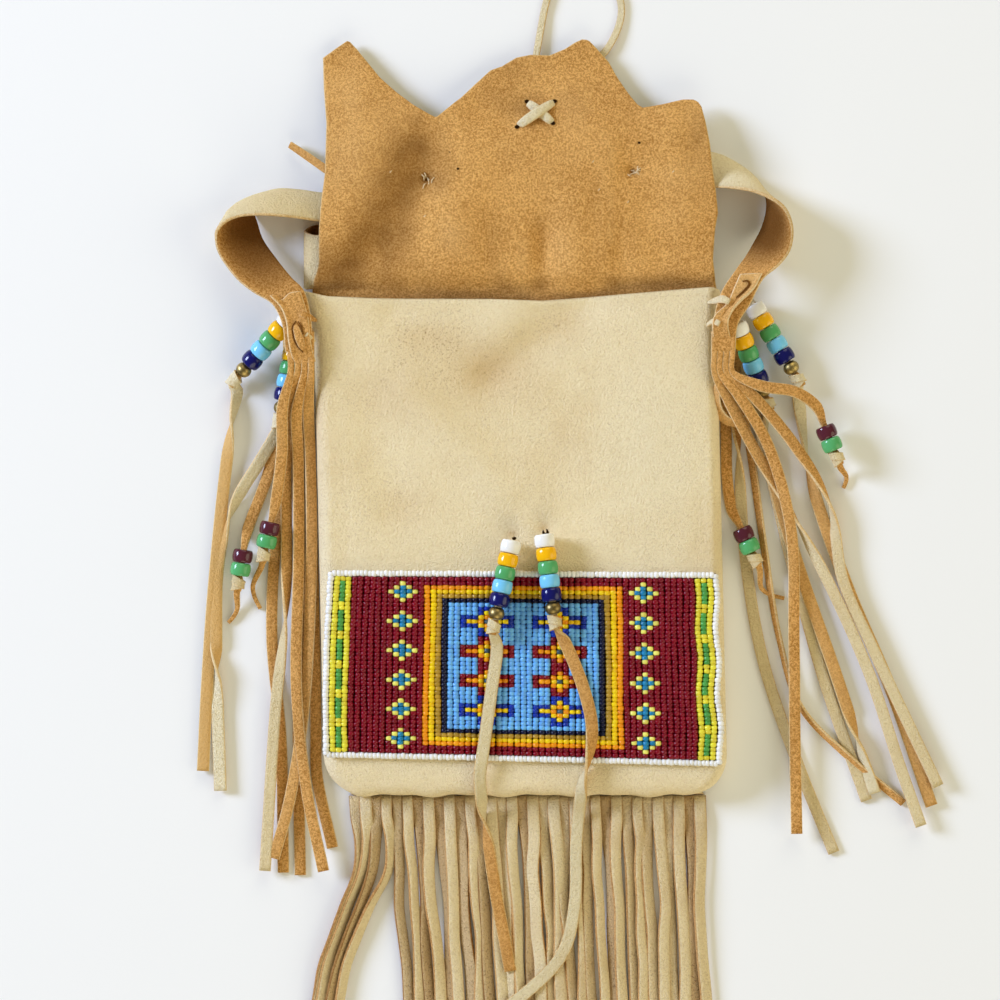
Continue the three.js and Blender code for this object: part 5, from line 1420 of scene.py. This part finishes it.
# Painted shade in the stitch holes and the needle holes.
hole_work = Work()
for (x, y), (dx, dy) in zip(stitch_holes, ((-0.4, 0.5), (0.2, -0.3), (-0.4, -0.4), (0.1, 0.2))):
    add_hole(hole_work, x + dx, y + dy, on_flap, 0.95)
for x, reach in ((-28.2, 55.9), (47.4, 59.3), (-25.0, 48.9)):
    add_hole(hole_work, x, FLAP_START + reach, on_flap, 0.55)
hole_work.make("flap_holes", [hole_shade], "flap", "suede")


# The thong end: a narrow cut end of lace that shows beyond the flap's left edge. Its inner end is
# skived thin and sewn into the flap's grain face.
thong_route = [
    (-64.0, 140.4, 13.2), (-69.6, 144.0, 11.3), (-77.4, 149.4, 9.5), (-85.0, 154.9, 6.0), (-92.6, 160.2, 2.8),
]
thong_widths, thong_thicks = (2.8, 3.2, 3.4, 3.2, 2.8), (0.6, 1.2, 1.2, 1.2, 1.2)
thong_rolls = [(0, 180), (0.4, 180), (1, 200)]
thong_work = Work()
thong_line = add_strip(thong_work, thong_route, thong_widths, thong_thicks, thong_rolls, step=1.2)
thong = thong_work.make("thong_end", lace_sides, "flap", "lace")
path, length = cord_route(thong_line)


# The thread ends on the flap: white thread is drawn through the hide at the two dimples. Its short
# ends and a few stray pricks of it show on the flesh side.
END_RADIUS, PRICK_RADIUS = 0.2, 0.22
snip = random.Random(3)
ends_work = Work()
for dx, dr in FLAP_DIMPLES:
    for k in range(7):
        angle = snip.uniform(0, 2 * math.pi)
        x, y = dx + snip.uniform(-1.5, 2.6), FLAP_START + dr + snip.uniform(-2.4, 1.8)
        reach = snip.uniform(0.7, 1.5)
        bits = []
        for out, turn, above in ((-reach, 0, 0.75), (0, 0, 1.5), (reach, 0.5, 0.8)):
            bits.append(on_flap(x + out * math.cos(angle + turn), y + out * math.sin(angle + turn), above))
        add_thread(ends_work, route_points(bits, 0.3)[0], END_RADIUS, 5)
for x, reach in ((-51.8, 47.7), (-38.2, 30.1), (29.0, 51.7), (31.4, 40.5), (43.0, 35.7), (61.0, 47.7)):
    y = FLAP_START + reach
    prick = [on_flap(x - 0.4, y - 0.3, 0.72), on_flap(x, y, 0.95), on_flap(x + 0.3, y + 0.4, 0.72)]
    add_thread(ends_work, prick, PRICK_RADIUS, 5)
ends_thread = thread_finish("ends_thread", "f0dfb8", "c9a977")
ends_work.make("thread_ends", [ends_thread], "flap", "lace")


# The table: a plain pale sheet that the bag lies on, with the lights and the camera above it. A wide
# soft window light comes from the upper left, and three broad lamps lighten the shadows.
ROOM_TINT = (1.0, 0.925, 0.68)
WINDOW_TINT = (0.81, 0.945, 1.31)
FLOOR_HALF = 3
SENSOR = 36.0
VIEW_WIDTH, VIEW_DISTANCE = 0.4, 1.49
floor_tint = paint("f1f2f3")
floor_finish = new_finish("table", Base_Color=floor_tint, Roughness=0.9, Specular_IOR_Level=0.1)[0]
floor_mesh = bpy.data.meshes.new("table")
corners = [(x * FLOOR_HALF, y * FLOOR_HALF, 0) for x, y in ((-1, -1), (1, -1), (1, 1), (-1, 1))]
floor_mesh.from_pydata(corners, [], [(0, 1, 2, 3)])
floor_mesh.materials.append(floor_finish)
floor = bpy.data.objects.new("table", floor_mesh)
scene.collection.objects.link(floor)
world = bpy.data.worlds.new("room")
scene.world = world
world.use_nodes = True
room = world.node_tree.nodes["Background"]
room.inputs["Color"].default_value = (*ROOM_TINT, 1.0)
room.inputs["Strength"].default_value = 0.25


def add_lamp(name, place, size, power, tint):
    """A round area light that faces the bag."""
    lamp = bpy.data.lights.new(name, "AREA")
    lamp.shape = "DISK"
    lamp.size = size
    lamp.energy = power
    lamp.color = tint
    holder = bpy.data.objects.new(name, lamp)
    holder.location = place
    holder.rotation_euler = (-Vector(place)).to_track_quat("-Z", "Y").to_euler()
    scene.collection.objects.link(holder)


add_lamp("window", (-2.75, 0.95, 1.37), 1.15, 98.0, WINDOW_TINT)
for name, place in (("right", (3.6, -0.7, 1.8)), ("front", (0.4, -3.6, 1.8)), ("back", (0.8, 3.6, 1.8))):
    add_lamp(name, place, 3.4, 63.0, ROOM_TINT)
camera = bpy.data.cameras.new("camera")
camera.sensor_width = SENSOR
camera.lens = SENSOR * VIEW_DISTANCE / VIEW_WIDTH
eye = bpy.data.objects.new("camera", camera)
eye.location = (-0.0082, 0.0174, 1.5)
scene.collection.objects.link(eye)
scene.camera = eye
